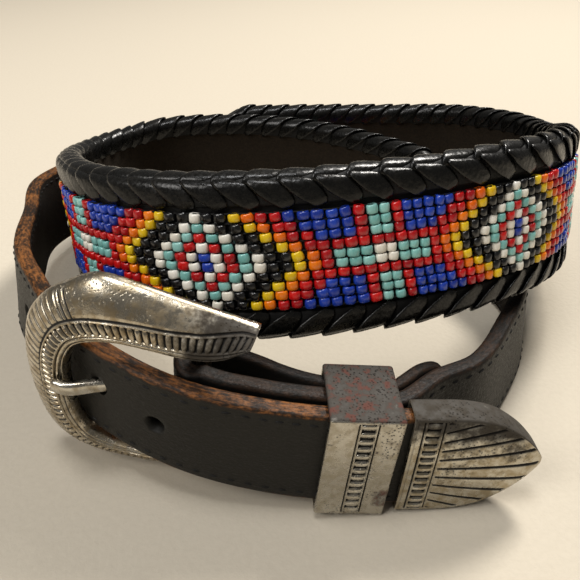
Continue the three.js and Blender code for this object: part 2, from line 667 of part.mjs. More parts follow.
function makeTip() {
  const mouth = stationAt(tipStart + TIP_MOUTH);
  const half = STRAP_WIDTH / 2 + GAP + TIP_WALL;
  const thick = LEATHER / 2 + GAP + TIP_WALL;
  const forward = mouth.along.clone().negate();
  const rings = TIP_ROWS.map((row) => {
    const middle = mouth.middle.clone().addScaledVector(forward, row.along * TIP_LENGTH);
    const station = { ...mouth, middle };
    const [high, deep] = [half * row.half, thick * row.thick];
    return [
      [-deep, -high * 0.9], [-deep * 0.6, -high], [deep * 0.6, -high], [deep, -high * 0.9],
      [deep * 1.12, 0],
      [deep, high * 0.9], [deep * 0.6, high], [-deep * 0.6, high], [-deep, high * 0.9],
    ].map(([outward, upward]) => place(station, outward, upward));
  });
  return loft(rings);
}

function tipSocket() {
  const stations = spread(tipStart - GAP, tipStart + TIP_MOUTH + 2, STATION_STEP).map(stationAt);
  const half = STRAP_WIDTH / 2 + GAP;
  const thick = LEATHER + 2 * GAP;
  return sweep(stations, () => strapSection(thick, -half, half));
}

// Assembly

const belt = new THREE.Group();

function add(name, geometry, look) {
  const mesh = new THREE.Mesh(geometry, look.clone());
  mesh.name = name;
  belt.add(mesh);
}

const seat = buckleSeat();
add('billet', makeBillet(seat), leatherLook);
add('belt_body', makeBody(), leatherLook);
add('buckle_strap', makeBuckleStrap(seat), leatherLook);
add('bead_strip', makeBeadStrip(), beadLook);
add('upper_lacing', makeLacing(1), edgeLook);
add('lower_lacing', makeLacing(-1), edgeLook);
add('buckle_frame', makeFrame(seat), silverLook);
add('buckle_prong', makeProng(seat, 0, [0.45, 0.85]), silverLook);
add('keeper', makeKeeper(), silverLook);
add('tip', cut(makeTip(), [tipSocket()]), silverLook);

const box = new THREE.Box3().setFromObject(belt, true);
const middle = box.getCenter(new THREE.Vector3());
belt.children.forEach((mesh) => mesh.geometry.translate(-middle.x, -middle.y, -box.min.z));

export default belt;
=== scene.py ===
import math

import bpy
import numpy as np
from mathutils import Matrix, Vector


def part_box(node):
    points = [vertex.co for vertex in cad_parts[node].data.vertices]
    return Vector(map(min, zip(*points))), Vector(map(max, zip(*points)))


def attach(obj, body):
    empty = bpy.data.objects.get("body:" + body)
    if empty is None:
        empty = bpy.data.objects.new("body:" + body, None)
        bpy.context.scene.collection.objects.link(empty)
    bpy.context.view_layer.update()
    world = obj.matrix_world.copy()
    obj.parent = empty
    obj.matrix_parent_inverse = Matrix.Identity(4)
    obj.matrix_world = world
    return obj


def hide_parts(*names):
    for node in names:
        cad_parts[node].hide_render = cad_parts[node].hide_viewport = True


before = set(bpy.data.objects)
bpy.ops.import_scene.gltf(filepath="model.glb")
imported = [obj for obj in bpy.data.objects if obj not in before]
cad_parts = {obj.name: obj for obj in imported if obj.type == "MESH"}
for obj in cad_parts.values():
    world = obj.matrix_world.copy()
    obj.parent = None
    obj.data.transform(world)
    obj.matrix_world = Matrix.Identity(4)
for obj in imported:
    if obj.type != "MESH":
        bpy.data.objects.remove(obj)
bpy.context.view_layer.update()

# Sizes in millimetres, as in the solids
BODY_WIDTH = 38.1
STRAP_WIDTH = 25.4
LEATHER = 4.0
FOLD_LEATHER = 3.0
BODY_TAPER = 24.0
FOLD_END_ROUND = 7.0
FOLD_PAST_KEEPER = 16.0
GAP = 0.3
LACING_INSET = 9.0
LACING_BACK = 1.5
LACING_CREST = 1.2
BEAD_DEPTH = 2.4
BEAD_STRIP_WIDTH = 22.0
BEAD_STRIP_INSET = 2.0
COIL_WIDTH = 160.0
COIL_DEPTH = 157.0
FRONT_LIFT = 28.5
BUCKLE_LENGTH = 50.8
BUCKLE_HEIGHT = 50.0
BUCKLE_METAL = 3.2
BUCKLE_DOME = 5.0
BUCKLE_RISE = 0.8
BAR_DIAMETER = 3.2
BAR_LENGTH = 37.5
LUG_WIDTH = 2.4
BAR_TO_RIM = 33.0
DOME_TOP = 6.6
RIM_OUT = 4.8
PRONG_WIDTH = 3.4
PRONG_THICKNESS = 2.2
PRONG_REACH = 30.5
PRONG_RISE = 2.6
SLOT_LENGTH = 13.0
HOLE_DIAMETER = 4.6
HOLE_PITCH = 16.0
HOLE_COUNT = 5
TIP_TO_FIRST_HOLE = 62.5
BAR_BEFORE_HOLE = 21.5
HOLE_IN_USE = 2
KEEPER_LENGTH = 14.8
KEEPER_WALL = 1.2
KEEPER_SLACK = 0.4
KEEPER_TURN = 2.5
LAYER_SLACK = 1.2
TIP_TO_KEEPER = 20.5
TIP_LENGTH = 29.5
TIP_WALL = 0.75
TIP_MOUTH = 10.5
TIP_START = 19.5
STATION_STEP = 8.5

# The route's rows: share of the coil's width and depth, share of the lift, lean, layer
BILLET_LIFT = (BUCKLE_HEIGHT - STRAP_WIDTH) / 2
BILLET_ROWS = [
    (0.300, 0.028, 0.06, 0, 0),
    (0.181, 0.011, 0.10, 0, 0),
    (0.062, 0.002, 0.20, 1, 0),
    (-0.056, 0.006, 0.38, 2, 0),
    (-0.153, 0.021, 0.62, 3, 0),
    (-0.231, 0.052, 0.80, 2, 0),
    (-0.319, 0.112, 0.96, 0, 0),
    (-0.403, 0.207, 0.98, -6, 0),
    (-0.478, 0.322, 0.92, -10, 0),
    (-0.512, 0.470, 0.78, -8, 0),
    (-0.487, 0.616, 0.60, -3, 1),
    (-0.448, 0.746, 0.42, 0, 1),
    (-0.388, 0.848, 0.25, 0, 1),
]
BODY_ROWS = [
    (-0.262, 0.918, 0.06, 0, 1),
    (-0.076, 0.940, 0.015, 0, 1),
    (0.150, 0.946, 0.015, 0, 1),
    (0.345, 0.916, 0.07, 0, 1),
    (0.446, 0.794, 0.19, -2, 1),
    (0.450, 0.618, 0.38, -4, 1),
    (0.453, 0.449, 0.72, -7, 0),
    (0.376, 0.315, 0.92, -11, 0),
    (0.253, 0.222, 1, -12, 0),
    (0.106, 0.176, 0.98, -13, 0),
    (-0.056, 0.166, 0.92, -13, 0),
    (-0.203, 0.210, 0.81, -11, 0),
    (-0.331, 0.325, 0.62, -5, 0),
    (-0.400, 0.481, 0.39, 2, 0),
    (-0.430, 0.653, 0.14, 4, 0),
    (-0.402, 0.812, 0.01, 1, 0),
    (-0.319, 0.903, 0, 0, 0),
    (-0.156, 0.929, 0, 0, 0),
    (0.006, 0.894, 0, 0, 0),
    (0.141, 0.813, 0, 0, 0),
    (0.256, 0.704, 0.012, 0, 0),
    (0.350, 0.576, 0.06, -3, 0),
]
STRAP_ROWS = [
    (0.398, 0.446, 0.04, -6, 0),
    (0.372, 0.315, 0.04, -7, 0),
    (0.309, 0.200, 0.05, -6, 0),
    (0.238, 0.115, 0.08, -2, 0),
    (0.172, 0.080, 0.12, 0, 0),
]
ROWS_SHARED_WITH_BILLET = 3
FOLLOW_LEAN = 1.5

LAYER_STEP = LEATHER + BEAD_DEPTH + LACING_BACK + 2 * GAP
STRAP_STEP = LEATHER + 1.5 * GAP
BAR_HOLD = BAR_DIAMETER / 2 + 3 * GAP
KEEPER_STEP = LEATHER + LAYER_SLACK

# Camera, in millimetres from the middle of the object's base
CAMERA = (-2.5, -166.55, 116.03)
CAMERA_PITCH = 34.0
CAMERA_LENS = 38.98

chance = np.random.RandomState(11)


# The route


def lerp(a, b, share):
    return a + (b - a) * share


def smoothstep(x, low, high):
    t = np.clip((x - low) / (high - low), 0, 1)
    return t * t * (3 - 2 * t)


def unit(vectors):
    return vectors / np.linalg.norm(vectors, axis=-1, keepdims=True)


def full_turn(count):
    return np.linspace(0, 2 * np.pi, count, endpoint=False)


def square_reach(turns, power):
    """How far a square with round corners reaches at each angle; more power, sharper corners."""
    return 1 / (np.abs(np.cos(turns)) ** power + np.abs(np.sin(turns)) ** power) ** (1 / power)


def curve_points(points, share):
    """Points on a centripetal Catmull-Rom curve; share runs from 0 to 1 over its rows."""
    spans = len(points) - 1
    place = np.clip(share, 0, 1) * spans
    low = np.minimum(place.astype(int), spans - 1)
    w = (place - low)[:, None]
    padded = np.vstack([2 * points[0] - points[1], points, 2 * points[-1] - points[-2]])
    p0, p1, p2, p3 = (padded[low + k] for k in range(4))
    d0, d1, d2 = (
        np.sqrt(np.linalg.norm(b - a, axis=1))[:, None] for a, b in ((p0, p1), (p1, p2), (p2, p3))
    )
    t1 = ((p1 - p0) / d0 - (p2 - p0) / (d0 + d1) + (p2 - p1) / d1) * d1
    t2 = ((p2 - p1) / d1 - (p3 - p1) / (d1 + d2) + (p3 - p2) / d2) * d1
    bend = -3 * p1 + 3 * p2 - 2 * t1 - t2
    return p1 + t1 * w + bend * w**2 + (2 * p1 - 2 * p2 + t1 + t2) * w**3


class Route:
    def __init__(self, points, leans):
        self.points = np.array(points, float)
        self.leans = np.array(leans, float)
        self.spans = len(points) - 1
        self.share = np.arange(self.spans * 24 + 1) / (self.spans * 24)
        traced = curve_points(self.points, self.share)
        steps = np.linalg.norm(np.diff(traced, axis=0), axis=1)
        self.distance = np.concatenate([[0], np.cumsum(steps)])
        self.length = self.distance[-1]

    def at(self, distance):
        distance = np.atleast_1d(np.asarray(distance, float))
        share = np.interp(distance, self.distance, self.share)
        ahead = curve_points(self.points, np.interp(distance + 0.5, self.distance, self.share))
        behind = curve_points(self.points, np.interp(distance - 0.5, self.distance, self.share))
        along = unit(ahead - behind)
        lean = 0
        for shift in (-4, 0, 4):
            near = np.interp(distance + shift, self.distance, self.share)
            lean = lean + np.interp(near * self.spans, np.arange(self.spans + 1), self.leans) / 3
        level = unit(np.cross([0, 0, 1], along))
        rise = unit(np.cross(along, level))
        angle = np.radians(lean)[:, None]
        up = rise * np.cos(angle) + level * np.sin(angle)
        out = level * np.cos(angle) - rise * np.sin(angle)
        return curve_points(self.points, share), along, out, up

    def of_row(self, row):
        return self.distance[row * 24]


def place_row(row, lift):
    x, y, up, _, layer = row
    point = np.array([x * COIL_WIDTH, y * COIL_DEPTH, up * lift])
    outward = point - np.array([0, COIL_DEPTH / 2, 0])
    outward[2] = 0
    return point + outward / np.linalg.norm(outward) * layer * LAYER_STEP


def spread(low, high, step):
    return np.linspace(low, high, max(1, round((high - low) / step)) + 1)


billet_points = [place_row(row, BILLET_LIFT) for row in BILLET_ROWS]
body_points = [place_row(row, FRONT_LIFT) for row in BODY_ROWS]
strap_points = [place_row(row, BILLET_LIFT) for row in STRAP_ROWS]
shared = BODY_ROWS[:ROWS_SHARED_WITH_BILLET]
rough_route = Route(
    billet_points + body_points[:ROWS_SHARED_WITH_BILLET],
    [row[3] for row in BILLET_ROWS + shared],
)

keeper_at = TIP_START + TIP_TO_KEEPER
holes_at = [TIP_START + TIP_TO_FIRST_HOLE + i * HOLE_PITCH for i in range(HOLE_COUNT)]
bar_at = holes_at[HOLE_IN_USE - 1] - BAR_BEFORE_HOLE
bar_to_keeper = bar_at - keeper_at - KEEPER_LENGTH / 2
fold_length = bar_to_keeper + KEEPER_LENGTH + FOLD_PAST_KEEPER

followed = spread(keeper_at - KEEPER_LENGTH / 2 - 3, bar_at, STATION_STEP)
foot, _, out, _ = rough_route.at(followed)
offset = -lerp(KEEPER_STEP, STRAP_STEP, smoothstep(followed, keeper_at, bar_at))
follow_points = list(foot + out * offset[:, None])
route = Route(
    billet_points + body_points + strap_points + follow_points,
    [row[3] for row in BILLET_ROWS + BODY_ROWS + STRAP_ROWS] + [FOLLOW_LEAN] * len(followed),
)
body_from = route.of_row(len(BILLET_ROWS))
body_to = route.of_row(len(BILLET_ROWS) + len(BODY_ROWS) - 1)
wide_from = body_from + BODY_TAPER
wide_to = body_to - BODY_TAPER


def wide_share(distance):
    return np.clip(np.minimum(distance - body_from, body_to - distance) / BODY_TAPER, 0, 1)


def half_width(distance):
    return lerp(STRAP_WIDTH, BODY_WIDTH, wide_share(distance)) / 2


def leather_half(distance):
    full = BODY_WIDTH / 2 - LACING_CREST - GAP
    return lerp(STRAP_WIDTH / 2, full, wide_share(distance))


class Stations:
    """Places along the belt: the middle of its leather there, and its three directions."""

    def __init__(self, distances):
        self.distance = np.atleast_1d(np.asarray(distances, float))
        foot, self.along, self.out, self.up = route.at(self.distance)
        self.middle = foot + self.up * half_width(self.distance)[:, None]

    def place(self, outward, upward, ahead=0.0):
        outward, upward, ahead = (
            np.asarray(v, float)[..., None] for v in (outward, upward, ahead)
        )
        return self.middle + self.out * outward + self.up * upward + self.along * ahead

    def rings(self, sections):
        """Sections of shape (stations, points, 2) as points in space."""
        across, rise = sections[..., 0:1], sections[..., 1:2]
        return self.middle[:, None] + self.out[:, None] * across + self.up[:, None] * rise


# The buckle's seat on the bar and the rim
at_bar = Stations(bar_at)
at_rim = Stations(bar_at + BAR_TO_RIM)
seat_origin = at_bar.place(-(LEATHER / 2 + STRAP_STEP + BAR_HOLD), BUCKLE_RISE)[0]
seat_along = unit(at_rim.place(RIM_OUT, BUCKLE_RISE)[0] - seat_origin)
seat_up = unit(at_bar.up[0] - seat_along * at_bar.up[0].dot(seat_along))
seat_out = np.cross(seat_up, seat_along)
if seat_out.dot(at_bar.out[0]) < 0:
    seat_out = -seat_out


def seat_points(along, up, out):
    along, up, out = (np.asarray(v, float)[..., None] for v in (along, up, out))
    return seat_origin + seat_along * along + seat_up * up + seat_out * out


# The keeper's middle in the solids and here gives the shift between the two
keeper_station = Stations(keeper_at)
room = KEEPER_LENGTH / 2 * math.sin(math.radians(KEEPER_TURN)) + GAP
keeper_front = LEATHER / 2 + room
keeper_back = -(KEEPER_STEP + LEATHER / 2 + GAP + FOLD_LEATHER + room + GAP)
keeper_half = STRAP_WIDTH / 2 + KEEPER_SLACK
turn = math.radians(KEEPER_TURN)
keeper_across = keeper_station.out[0] * math.cos(turn) - keeper_station.along[0] * math.sin(turn)
keeper_along = keeper_station.along[0] * math.cos(turn) + keeper_station.out[0] * math.sin(turn)
keeper_middle = keeper_station.middle[0]
keeper_centre = keeper_middle + keeper_across * (keeper_front + keeper_back) / 2
low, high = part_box("keeper")
shift = np.array((low + high) / 2) * 1000 - keeper_centre


# Meshes


def add_piece(name, points, faces, looks, stands_for=(), values=None, uvs=None):
    """A mesh from points in millimetres and face arrays, with nothing below the floor."""
    mesh = bpy.data.meshes.new(name)
    points = (np.asarray(points, float).reshape(-1, 3) + shift) / 1000
    points[:, 2] = np.maximum(points[:, 2], 0)
    faces = [np.asarray(f, np.int32) for f in faces if len(f)]
    loops = np.concatenate([f.ravel() for f in faces])
    sizes = np.concatenate([np.full(len(f), f.shape[1], np.int32) for f in faces])
    starts = np.concatenate([[0], np.cumsum(sizes)[:-1]]).astype(np.int32)
    mesh.vertices.add(len(points))
    mesh.vertices.foreach_set("co", points.astype(np.float32).ravel())
    mesh.loops.add(len(loops))
    mesh.loops.foreach_set("vertex_index", loops)
    mesh.polygons.add(len(sizes))
    mesh.polygons.foreach_set("loop_start", starts)
    for key, uv in (uvs or {}).items():
        layer = mesh.uv_layers.new(name=key)
        layer.data.foreach_set("uv", np.asarray(uv, np.float32)[loops].ravel())
    for look in looks:
        mesh.materials.append(look)
    mesh.update(calc_edges=True)
    mesh.validate()
    mesh.shade_smooth()
    for key, value in (values or {}).items():
        layer = mesh.attributes.new(key, "FLOAT", "POINT")
        layer.data.foreach_set("value", np.asarray(value, np.float32).ravel())
    piece = bpy.data.objects.new(name, mesh)
    bpy.context.scene.collection.objects.link(piece)
    dress(piece, stands_for)
    return piece


def dress(piece, stands_for=()):
    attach(piece, "root")
    if stands_for:
        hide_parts(*stands_for)


def grid_faces(rows, columns):
    """Quads over a grid of points, rows by columns, closed round its columns."""
    i, j = np.meshgrid(np.arange(rows - 1), np.arange(columns), indexing="ij")
    i, j = i.ravel() * columns, j.ravel()
    nxt = (j + 1) % columns
    return np.stack([i + j, i + nxt, i + columns + nxt, i + columns + j], axis=1)


def cap_faces(columns, start, centre, flip):
    j = np.arange(columns)
    nxt = (j + 1) % columns
    corners = (start + nxt, start + j) if flip else (start + j, start + nxt)
    return np.stack([*corners, np.full(columns, centre)], axis=1)


def tube(rings):
    """A closed tube from rings of points, shape (n, k, 3), with a fan at each end."""
    n, k, _ = rings.shape
    ends = np.stack([rings[0].mean(axis=0), rings[-1].mean(axis=0)])
    points = np.vstack([rings.reshape(-1, 3), ends])
    quads = grid_faces(n, k)
    fans = np.vstack([cap_faces(k, 0, n * k, True), cap_faces(k, (n - 1) * k, n * k + 1, False)])
    return face_out(points, quads, fans)


def face_out(points, quads, tris):
    a, b, c, d = (points[quads[:, k]] for k in range(4))
    centre = points.mean(axis=0)
    volume = np.einsum("ij,ij->i", a - centre, np.cross(b - centre, c - centre)).sum()
    volume += np.einsum("ij,ij->i", a - centre, np.cross(c - centre, d - centre)).sum()
    if volume < 0:
        quads, tris = quads[:, ::-1], tris[:, ::-1]
    return points, quads, tris


class Pile:
    """Collects many closed meshes into one."""

    def __init__(self):
        self.points, self.quads, self.tris, self.values = [], [], [], []
        self.count = 0

    def add(self, points, quads, tris, value=0.0):
        self.points.append(points)
        self.quads.append(quads + self.count)
        self.tris.append(tris + self.count)
        self.values.append(np.full(len(points), value) if np.isscalar(value) else value)
        self.count += len(points)

    def piece(self, name, looks, slot, stands_for=(), key="tint"):
        return add_piece(
            name,
            np.vstack(self.points),
            [np.vstack(self.quads), np.vstack(self.tris)],
            looks,
            stands_for,
            values={key: np.concatenate(self.values)},
        )


def smooth_rows(rows, per_span):
    """A smooth curve through rows of numbers, per_span steps to each."""
    rows = np.asarray(rows, float)
    padded = np.vstack([2 * rows[0] - rows[1], rows, 2 * rows[-1] - rows[-2]])
    t = (np.arange(per_span) / per_span)[:, None]
    pieces = []
    for i in range(len(rows) - 1):
        p0, p1, p2, p3 = padded[i : i + 4]
        bend = 2 * p0 - 5 * p1 + 4 * p2 - p3
        twist = 3 * p1 - p0 - 3 * p2 + p3
        pieces.append(0.5 * (2 * p1 + (p2 - p0) * t + bend * t**2 + twist * t**3))
    return np.vstack([*pieces, rows[-1:]])


def even_curve(rows, count):
    """count points evenly spaced on a smooth curve through flat rows, and their distances."""
    fine = smooth_rows(rows, 30)
    steps = np.linalg.norm(np.diff(fine, axis=0), axis=1)
    distance = np.concatenate([[0], np.cumsum(steps)])
    wanted = np.linspace(0, distance[-1], count)
    points = np.stack([np.interp(wanted, distance, fine[:, k]) for k in range(fine.shape[1])], axis=1)
    return points, wanted


# Looks


def colour(red, green, blue):
    """A linear colour from the usual 0 to 255 values."""
    values = np.array([red, green, blue]) / 255
    linear = np.where(values <= 0.04045, values / 12.92, ((values + 0.055) / 1.055) ** 2.4)
    return (*linear, 1.0)


class Look:
    """A material whose nodes are made and joined by short calls."""

    def __init__(self, name, **settings):
        self.material = bpy.data.materials.new(name)
        self.material.use_nodes = True
        self.nodes = self.material.node_tree.nodes
        self.links = self.material.node_tree.links
        self.shader = self.nodes["Principled BSDF"]
        for key, value in settings.items():
            self.set(key.replace("_", " "), value)

    def set(self, name, value):
        self.put(self.shader.inputs[name], value)

    def put(self, socket, value):
        if isinstance(value, bpy.types.NodeSocket):
            self.links.new(value, socket)
        else:
            socket.default_value = value

    def node(self, kind, values=None, output=0, **settings):
        made = self.nodes.new("ShaderNode" + kind)
        for key, value in settings.items():
            setattr(made, key, value)
        for key, value in (values or {}).items():
            self.put(made.inputs[key], value)
        return made.outputs[output]

    def place(self):
        return self.node("TexCoord", output="Object")

    def attribute(self, name):
        return self.node("Attribute", output="Fac", attribute_name=name)

    def uv(self, name):
        return self.node("UVMap", uv_map=name)

    def parts(self, vector):
        made = self.nodes.new("ShaderNodeSeparateXYZ")
        self.links.new(vector, made.inputs[0])
        return made.outputs

    def math(self, operation, a, b=0.0):
        return self.node("Math", {0: a, 1: b}, operation=operation, use_clamp=True)

    def free(self, operation, a, b=0.0):
        return self.node("Math", {0: a, 1: b}, operation=operation)

    def ramp(self, value, low, high, to_low=0.0, to_high=1.0):
        ends = {"Value": value, "From Min": low, "From Max": high}
        ends.update({"To Min": to_low, "To Max": to_high})
        return self.node("MapRange", ends, interpolation_type="SMOOTHSTEP")

    def noise(self, scale, detail=3.0, vector=None, rough=0.55):
        values = {"Vector": vector or self.place(), "Scale": scale, "Detail": detail, "Roughness": rough}
        return self.node("TexNoise", values)

    def cells(self, scale, vector=None, feature="F1"):
        values = {"Vector": vector or self.place(), "Scale": scale}
        return self.node("TexVoronoi", values, output="Distance", feature=feature)

    def stretched(self, vector, *factors):
        return self.node("VectorMath", {0: vector, 1: factors}, operation="MULTIPLY")

    def mix(self, share, a, b):
        made = self.nodes.new("ShaderNodeMix")
        made.data_type = "RGBA"
        for index, value in ((0, share), (6, a), (7, b)):
            self.put(made.inputs[index], value)
        return made.outputs[2]

    def bump(self, height, distance, strength=1.0, normal=None):
        values = {"Height": height, "Distance": distance, "Strength": strength}
        if normal is not None:
            values["Normal"] = normal
        return self.node("Bump", values)


def strap_look(name, face, worn, edge, edge_dark, inside):
    """Strap leather: smooth pebbled face with scuffs, burnished edges, suede inside."""
    look = Look(name, Specular_IOR_Level=0.2)
    run = look.parts(look.uv("run"))
    side = look.parts(look.uv("side"))
    lines = look.node("CombineXYZ", {0: run[0], 1: side[0], 2: run[1]})
    streak = look.noise(1.0, 5, look.stretched(lines, 0.5, 1.7, 1.2), 0.7)
    patch = look.noise(110, 5)
    fine = look.noise(1500, 3)
    grain = look.cells(1500)
    scuff = look.math("MULTIPLY", look.ramp(streak, 0.55, 0.75), look.ramp(patch, 0.45, 0.68))
    outer = look.mix(look.math("MULTIPLY", scuff, 0.7), face, worn)
    outer = look.mix(look.ramp(fine, 0.45, 0.8, 0.0, 0.3), outer, worn)
    nap = tuple(1.9 * v for v in inside[:3]) + (1.0,)
    inner = look.ramp(side[0], -1.75, -1.2, 1.0, 0.0)
    base = look.mix(inner, outer, look.mix(look.ramp(fine, 0.3, 0.7), inside, nap))
    speck = look.free("ADD", look.free("MULTIPLY", streak, 0.6), look.free("MULTIPLY", patch, 0.4))
    burnished = look.mix(look.ramp(speck, 0.38, 0.58), edge, edge_dark)
    burnished = look.mix(look.ramp(fine, 0.5, 0.72, 0.0, 0.6), burnished, edge_dark)
    reach = look.free("ADD", side[1], look.free("MULTIPLY", streak, 0.5))
    rim = look.ramp(reach, 0.62, 1.25, 1.0, 0.0)
    look.set("Base Color", look.mix(rim, base, burnished))
    rough = look.ramp(fine, 0.3, 0.7, 0.45, 0.62)
    look.set("Roughness", look.node("Mix", {0: inner, 2: rough, 3: 0.95}))
    pores = look.bump(grain, 0.0001, 0.5)
    look.set("Normal", look.bump(streak, 0.0003, 0.5, pores))
    return look.material


def lacing_look(name, base, worn, roughness):
    look = Look(name, Specular_IOR_Level=0.32)
    tint = look.attribute("tint")
    soft = look.noise(260, 4)
    fine = look.noise(1700, 3)
    share = look.math("MULTIPLY", look.ramp(soft, 0.42, 0.72), look.ramp(tint, 0.0, 1.0, 0.25, 0.9))
    look.set("Base Color", look.mix(share, base, worn))
    look.set("Roughness", look.ramp(fine, 0.3, 0.75, roughness, roughness + 0.2))
    creases = look.bump(look.cells(900), 0.0001, 0.5)
    look.set("Normal", look.bump(soft, 0.0004, 0.4, creases))
    return look.material


def bead_look(name, low, high, milky):
    """Glass beads: each has its own tint, with a clear coat and slight streaks in the glass."""
    look = Look(name, Coat_Weight=0.35, Coat_Roughness=0.12, Specular_IOR_Level=0.5)
    look.set("Subsurface Weight", milky)
    look.set("Subsurface Radius", (0.0006, 0.0006, 0.0006))
    tint = look.attribute("tint")
    streak = look.noise(900, 3, look.stretched(look.place(), 1.0, 1.0, 0.35))
    share = look.math("ADD", look.free("MULTIPLY", tint, 0.75), look.ramp(streak, 0.4, 0.7, 0.0, 0.25))
    look.set("Base Color", look.mix(share, low, high))
    look.set("Roughness", look.ramp(streak, 0.3, 0.7, 0.2, 0.34))
    look.set("Normal", look.bump(look.noise(1400, 2), 0.00008, 0.5))
    return look.material


def silver_look(name, light, warm, dark, wear=0.0, grime=None):
    """Old silver: tarnish in the recesses and in patches, small pits, and fine scratches."""
    look = Look(name)
    recess = look.attribute("recess")
    stained = look.attribute("stain")
    place = look.place()
    patch = look.noise(95, 5, place, 0.6)
    mottle = look.noise(460, 4, place, 0.62)
    fine = look.noise(2300, 3, place, 0.6)
    pits = look.ramp(look.cells(1500, place), 0.12, 0.4, 1.0, 0.0)
    where = look.free("ADD", patch, look.free("MULTIPLY", stained, 0.06))
    pitted = look.math("MULTIPLY", pits, look.ramp(where, 0.46, 0.66))
    metal = look.mix(look.ramp(mottle, 0.36, 0.66), light, warm)
    blend = look.free("ADD", patch, look.free("MULTIPLY", mottle, 0.45))
    blend = look.free("ADD", blend, look.free("MULTIPLY", stained, 0.42))
    stain = look.ramp(blend, 0.74 - wear, 1.02 - wear)
    rust = look.mix(look.ramp(mottle, 0.5, 0.64), dark, grime or dark)
    metal = look.mix(look.math("MULTIPLY", stain, 0.94), metal, rust)
    deep = look.math("ADD", look.ramp(recess, 0.2, 0.75), look.math("MULTIPLY", pitted, 0.8))
    look.set("Base Color", look.mix(deep, metal, colour(13, 10, 7)))
    gloss = look.ramp(mottle, 0.3, 0.75, 0.2, 0.38)
    gloss = look.math("ADD", gloss, look.math("MULTIPLY", stain, 0.5))
    look.set("Roughness", look.math("ADD", gloss, look.math("MULTIPLY", deep, 0.45)))
    shine = look.math("SUBTRACT", 1.0, look.math("MULTIPLY", stain, 0.96))
    look.set("Metallic", look.math("SUBTRACT", shine, deep))
    dents = look.bump(look.free("MULTIPLY", pitted, -1.0), 0.00015, 0.8)
    scratch = look.noise(500, 4, look.stretched(place, 0.25, 1.6, 2.2), 0.7)
    surface = look.bump(mottle, 0.0002, 0.25, dents)
    look.set("Normal", look.bump(look.free("ADD", scratch, fine), 0.00005, 0.3, surface))
    return look.material


# Colours of the face, its scuffs, the edge, the edge's dark patches and the inside
STRAP_COLOURS = {
    "billet_leather": [(26, 25, 22), (44, 42, 36), (124, 78, 38), (30, 20, 12), (20, 15, 10)],
    "buckle_strap_leather": [(11, 11, 10), (24, 22, 19), (46, 30, 18), (15, 12, 9), (20, 15, 10)],
    "body_leather": [(14, 13, 12), (30, 27, 24), (36, 25, 16), (14, 11, 9), (26, 20, 13)],
}
strap_looks = {
    name: strap_look(name, *(colour(*values) for values in colours))
    for name, colours in STRAP_COLOURS.items()
}
lacing_leather = lacing_look("lacing_leather", colour(9, 9, 8), colour(26, 24, 21), 0.2)
# Darker, duller copy of the lacing leather for the core inside the braid: painted shade in the gaps
# between the strands
core_leather_with_painted_shade = lacing_look("core_leather_with_painted_shade", colour(6, 6, 6), colour(14, 13, 12), 0.6)
# Near-black thread: real black thread, with painted shade of the stitch holes and of the gaps between the
# beads
thread_and_painted_shade_look = lacing_look("thread", colour(3, 3, 3), colour(12, 11, 10), 0.6)
RUST = colour(74, 24, 9)
TARNISH = colour(30, 23, 15)
frame_silver = silver_look("frame_silver", colour(186, 178, 162), colour(150, 136, 112), TARNISH)
keeper_silver = silver_look(
    "keeper_silver", colour(180, 176, 166), colour(160, 153, 138), TARNISH, -0.04, RUST
)
tip_silver = silver_look("tip_silver", colour(182, 177, 164), colour(150, 138, 114), TARNISH, 0.06)
prong_silver = silver_look(
    "prong_silver", colour(190, 186, 176), colour(160, 150, 132), colour(60, 48, 34), -0.02
)


# Straps


def strap_ring(stations, thickness, half, corner=1.05, faces=9):
    """Rounded strap sections in (out, up), with how far each point is from the edge."""
    face = np.linspace(-1, 1, faces)
    turns = np.radians([12, 34, 56, 78, 90])
    cos, sin = np.cos(turns), np.sin(turns)
    flip = turns[::-1]
    near = np.concatenate([np.ones(faces), cos, -np.cos(flip), -np.ones(faces), -cos, np.cos(flip)])
    side = np.concatenate([np.ones(faces + 5), -np.ones(5 + faces + 5), np.ones(5)])
    level = np.concatenate([face, np.ones(10), face[::-1], -np.ones(10)])
    rise = np.concatenate([np.zeros(faces), sin, np.sin(flip), np.zeros(faces), -sin, -np.sin(flip)])
    count = len(stations.distance)
    thick = np.broadcast_to(np.asarray(thickness, float), (count,))[:, None]
    half = np.broadcast_to(np.asarray(half, float), (count,))[:, None]
    corner = np.minimum(corner, thick * 0.42)
    across = side * (thick / 2 - corner) + near * corner
    up = level * (half - corner) + rise * corner
    return np.stack([across, up], axis=-1), half - np.abs(up)


def strap_piece(name, stations, thickness, half, stands_for):
    """A strap whose maps hold the way along and up it, and across it and in from its edge."""
    sections, inset = strap_ring(stations, thickness, half)
    points, quads, tris = tube(stations.rings(sections))
    travel = stations.distance
    count = sections.shape[1]
    run = np.stack([np.repeat(travel, count), sections[..., 1].ravel()], axis=1)
    side = np.stack([sections[..., 0].ravel(), inset.ravel()], axis=1)
    ends = {"run": [[travel[0], 0], [travel[-1], 0]], "side": [[0, 0], [0, 0]]}
    uvs = {"run": np.vstack([run, ends["run"]]), "side": np.vstack([side, ends["side"]])}
    return add_piece(name, points, [quads, tris], [strap_looks[name]], [stands_for], uvs=uvs)


def carve(piece, cutters):
    """Cuts closed meshes out of a piece."""
    helpers = []
    for points, quads, tris in cutters:
        # The cut walls get the strap face's dark colour instead of the brown edge colour: painted shade
        # inside the holes and the slot
        dark = np.tile([0.0, 9.0], (len(points), 1))
        uvs = {"run": dark, "side": dark}
        helper = add_piece("cutter", points, [quads, tris], [], uvs=uvs)
        helpers.append(helper)
        cut = piece.modifiers.new("cut", "BOOLEAN")
        cut.operation = "DIFFERENCE"
        cut.solver = "EXACT"
        cut.object = helper
    graph = bpy.context.evaluated_depsgraph_get()
    carved = bpy.data.meshes.new_from_object(piece.evaluated_get(graph))
    piece.modifiers.clear()
    piece.data = carved
    for helper in helpers:
        bpy.data.objects.remove(helper)


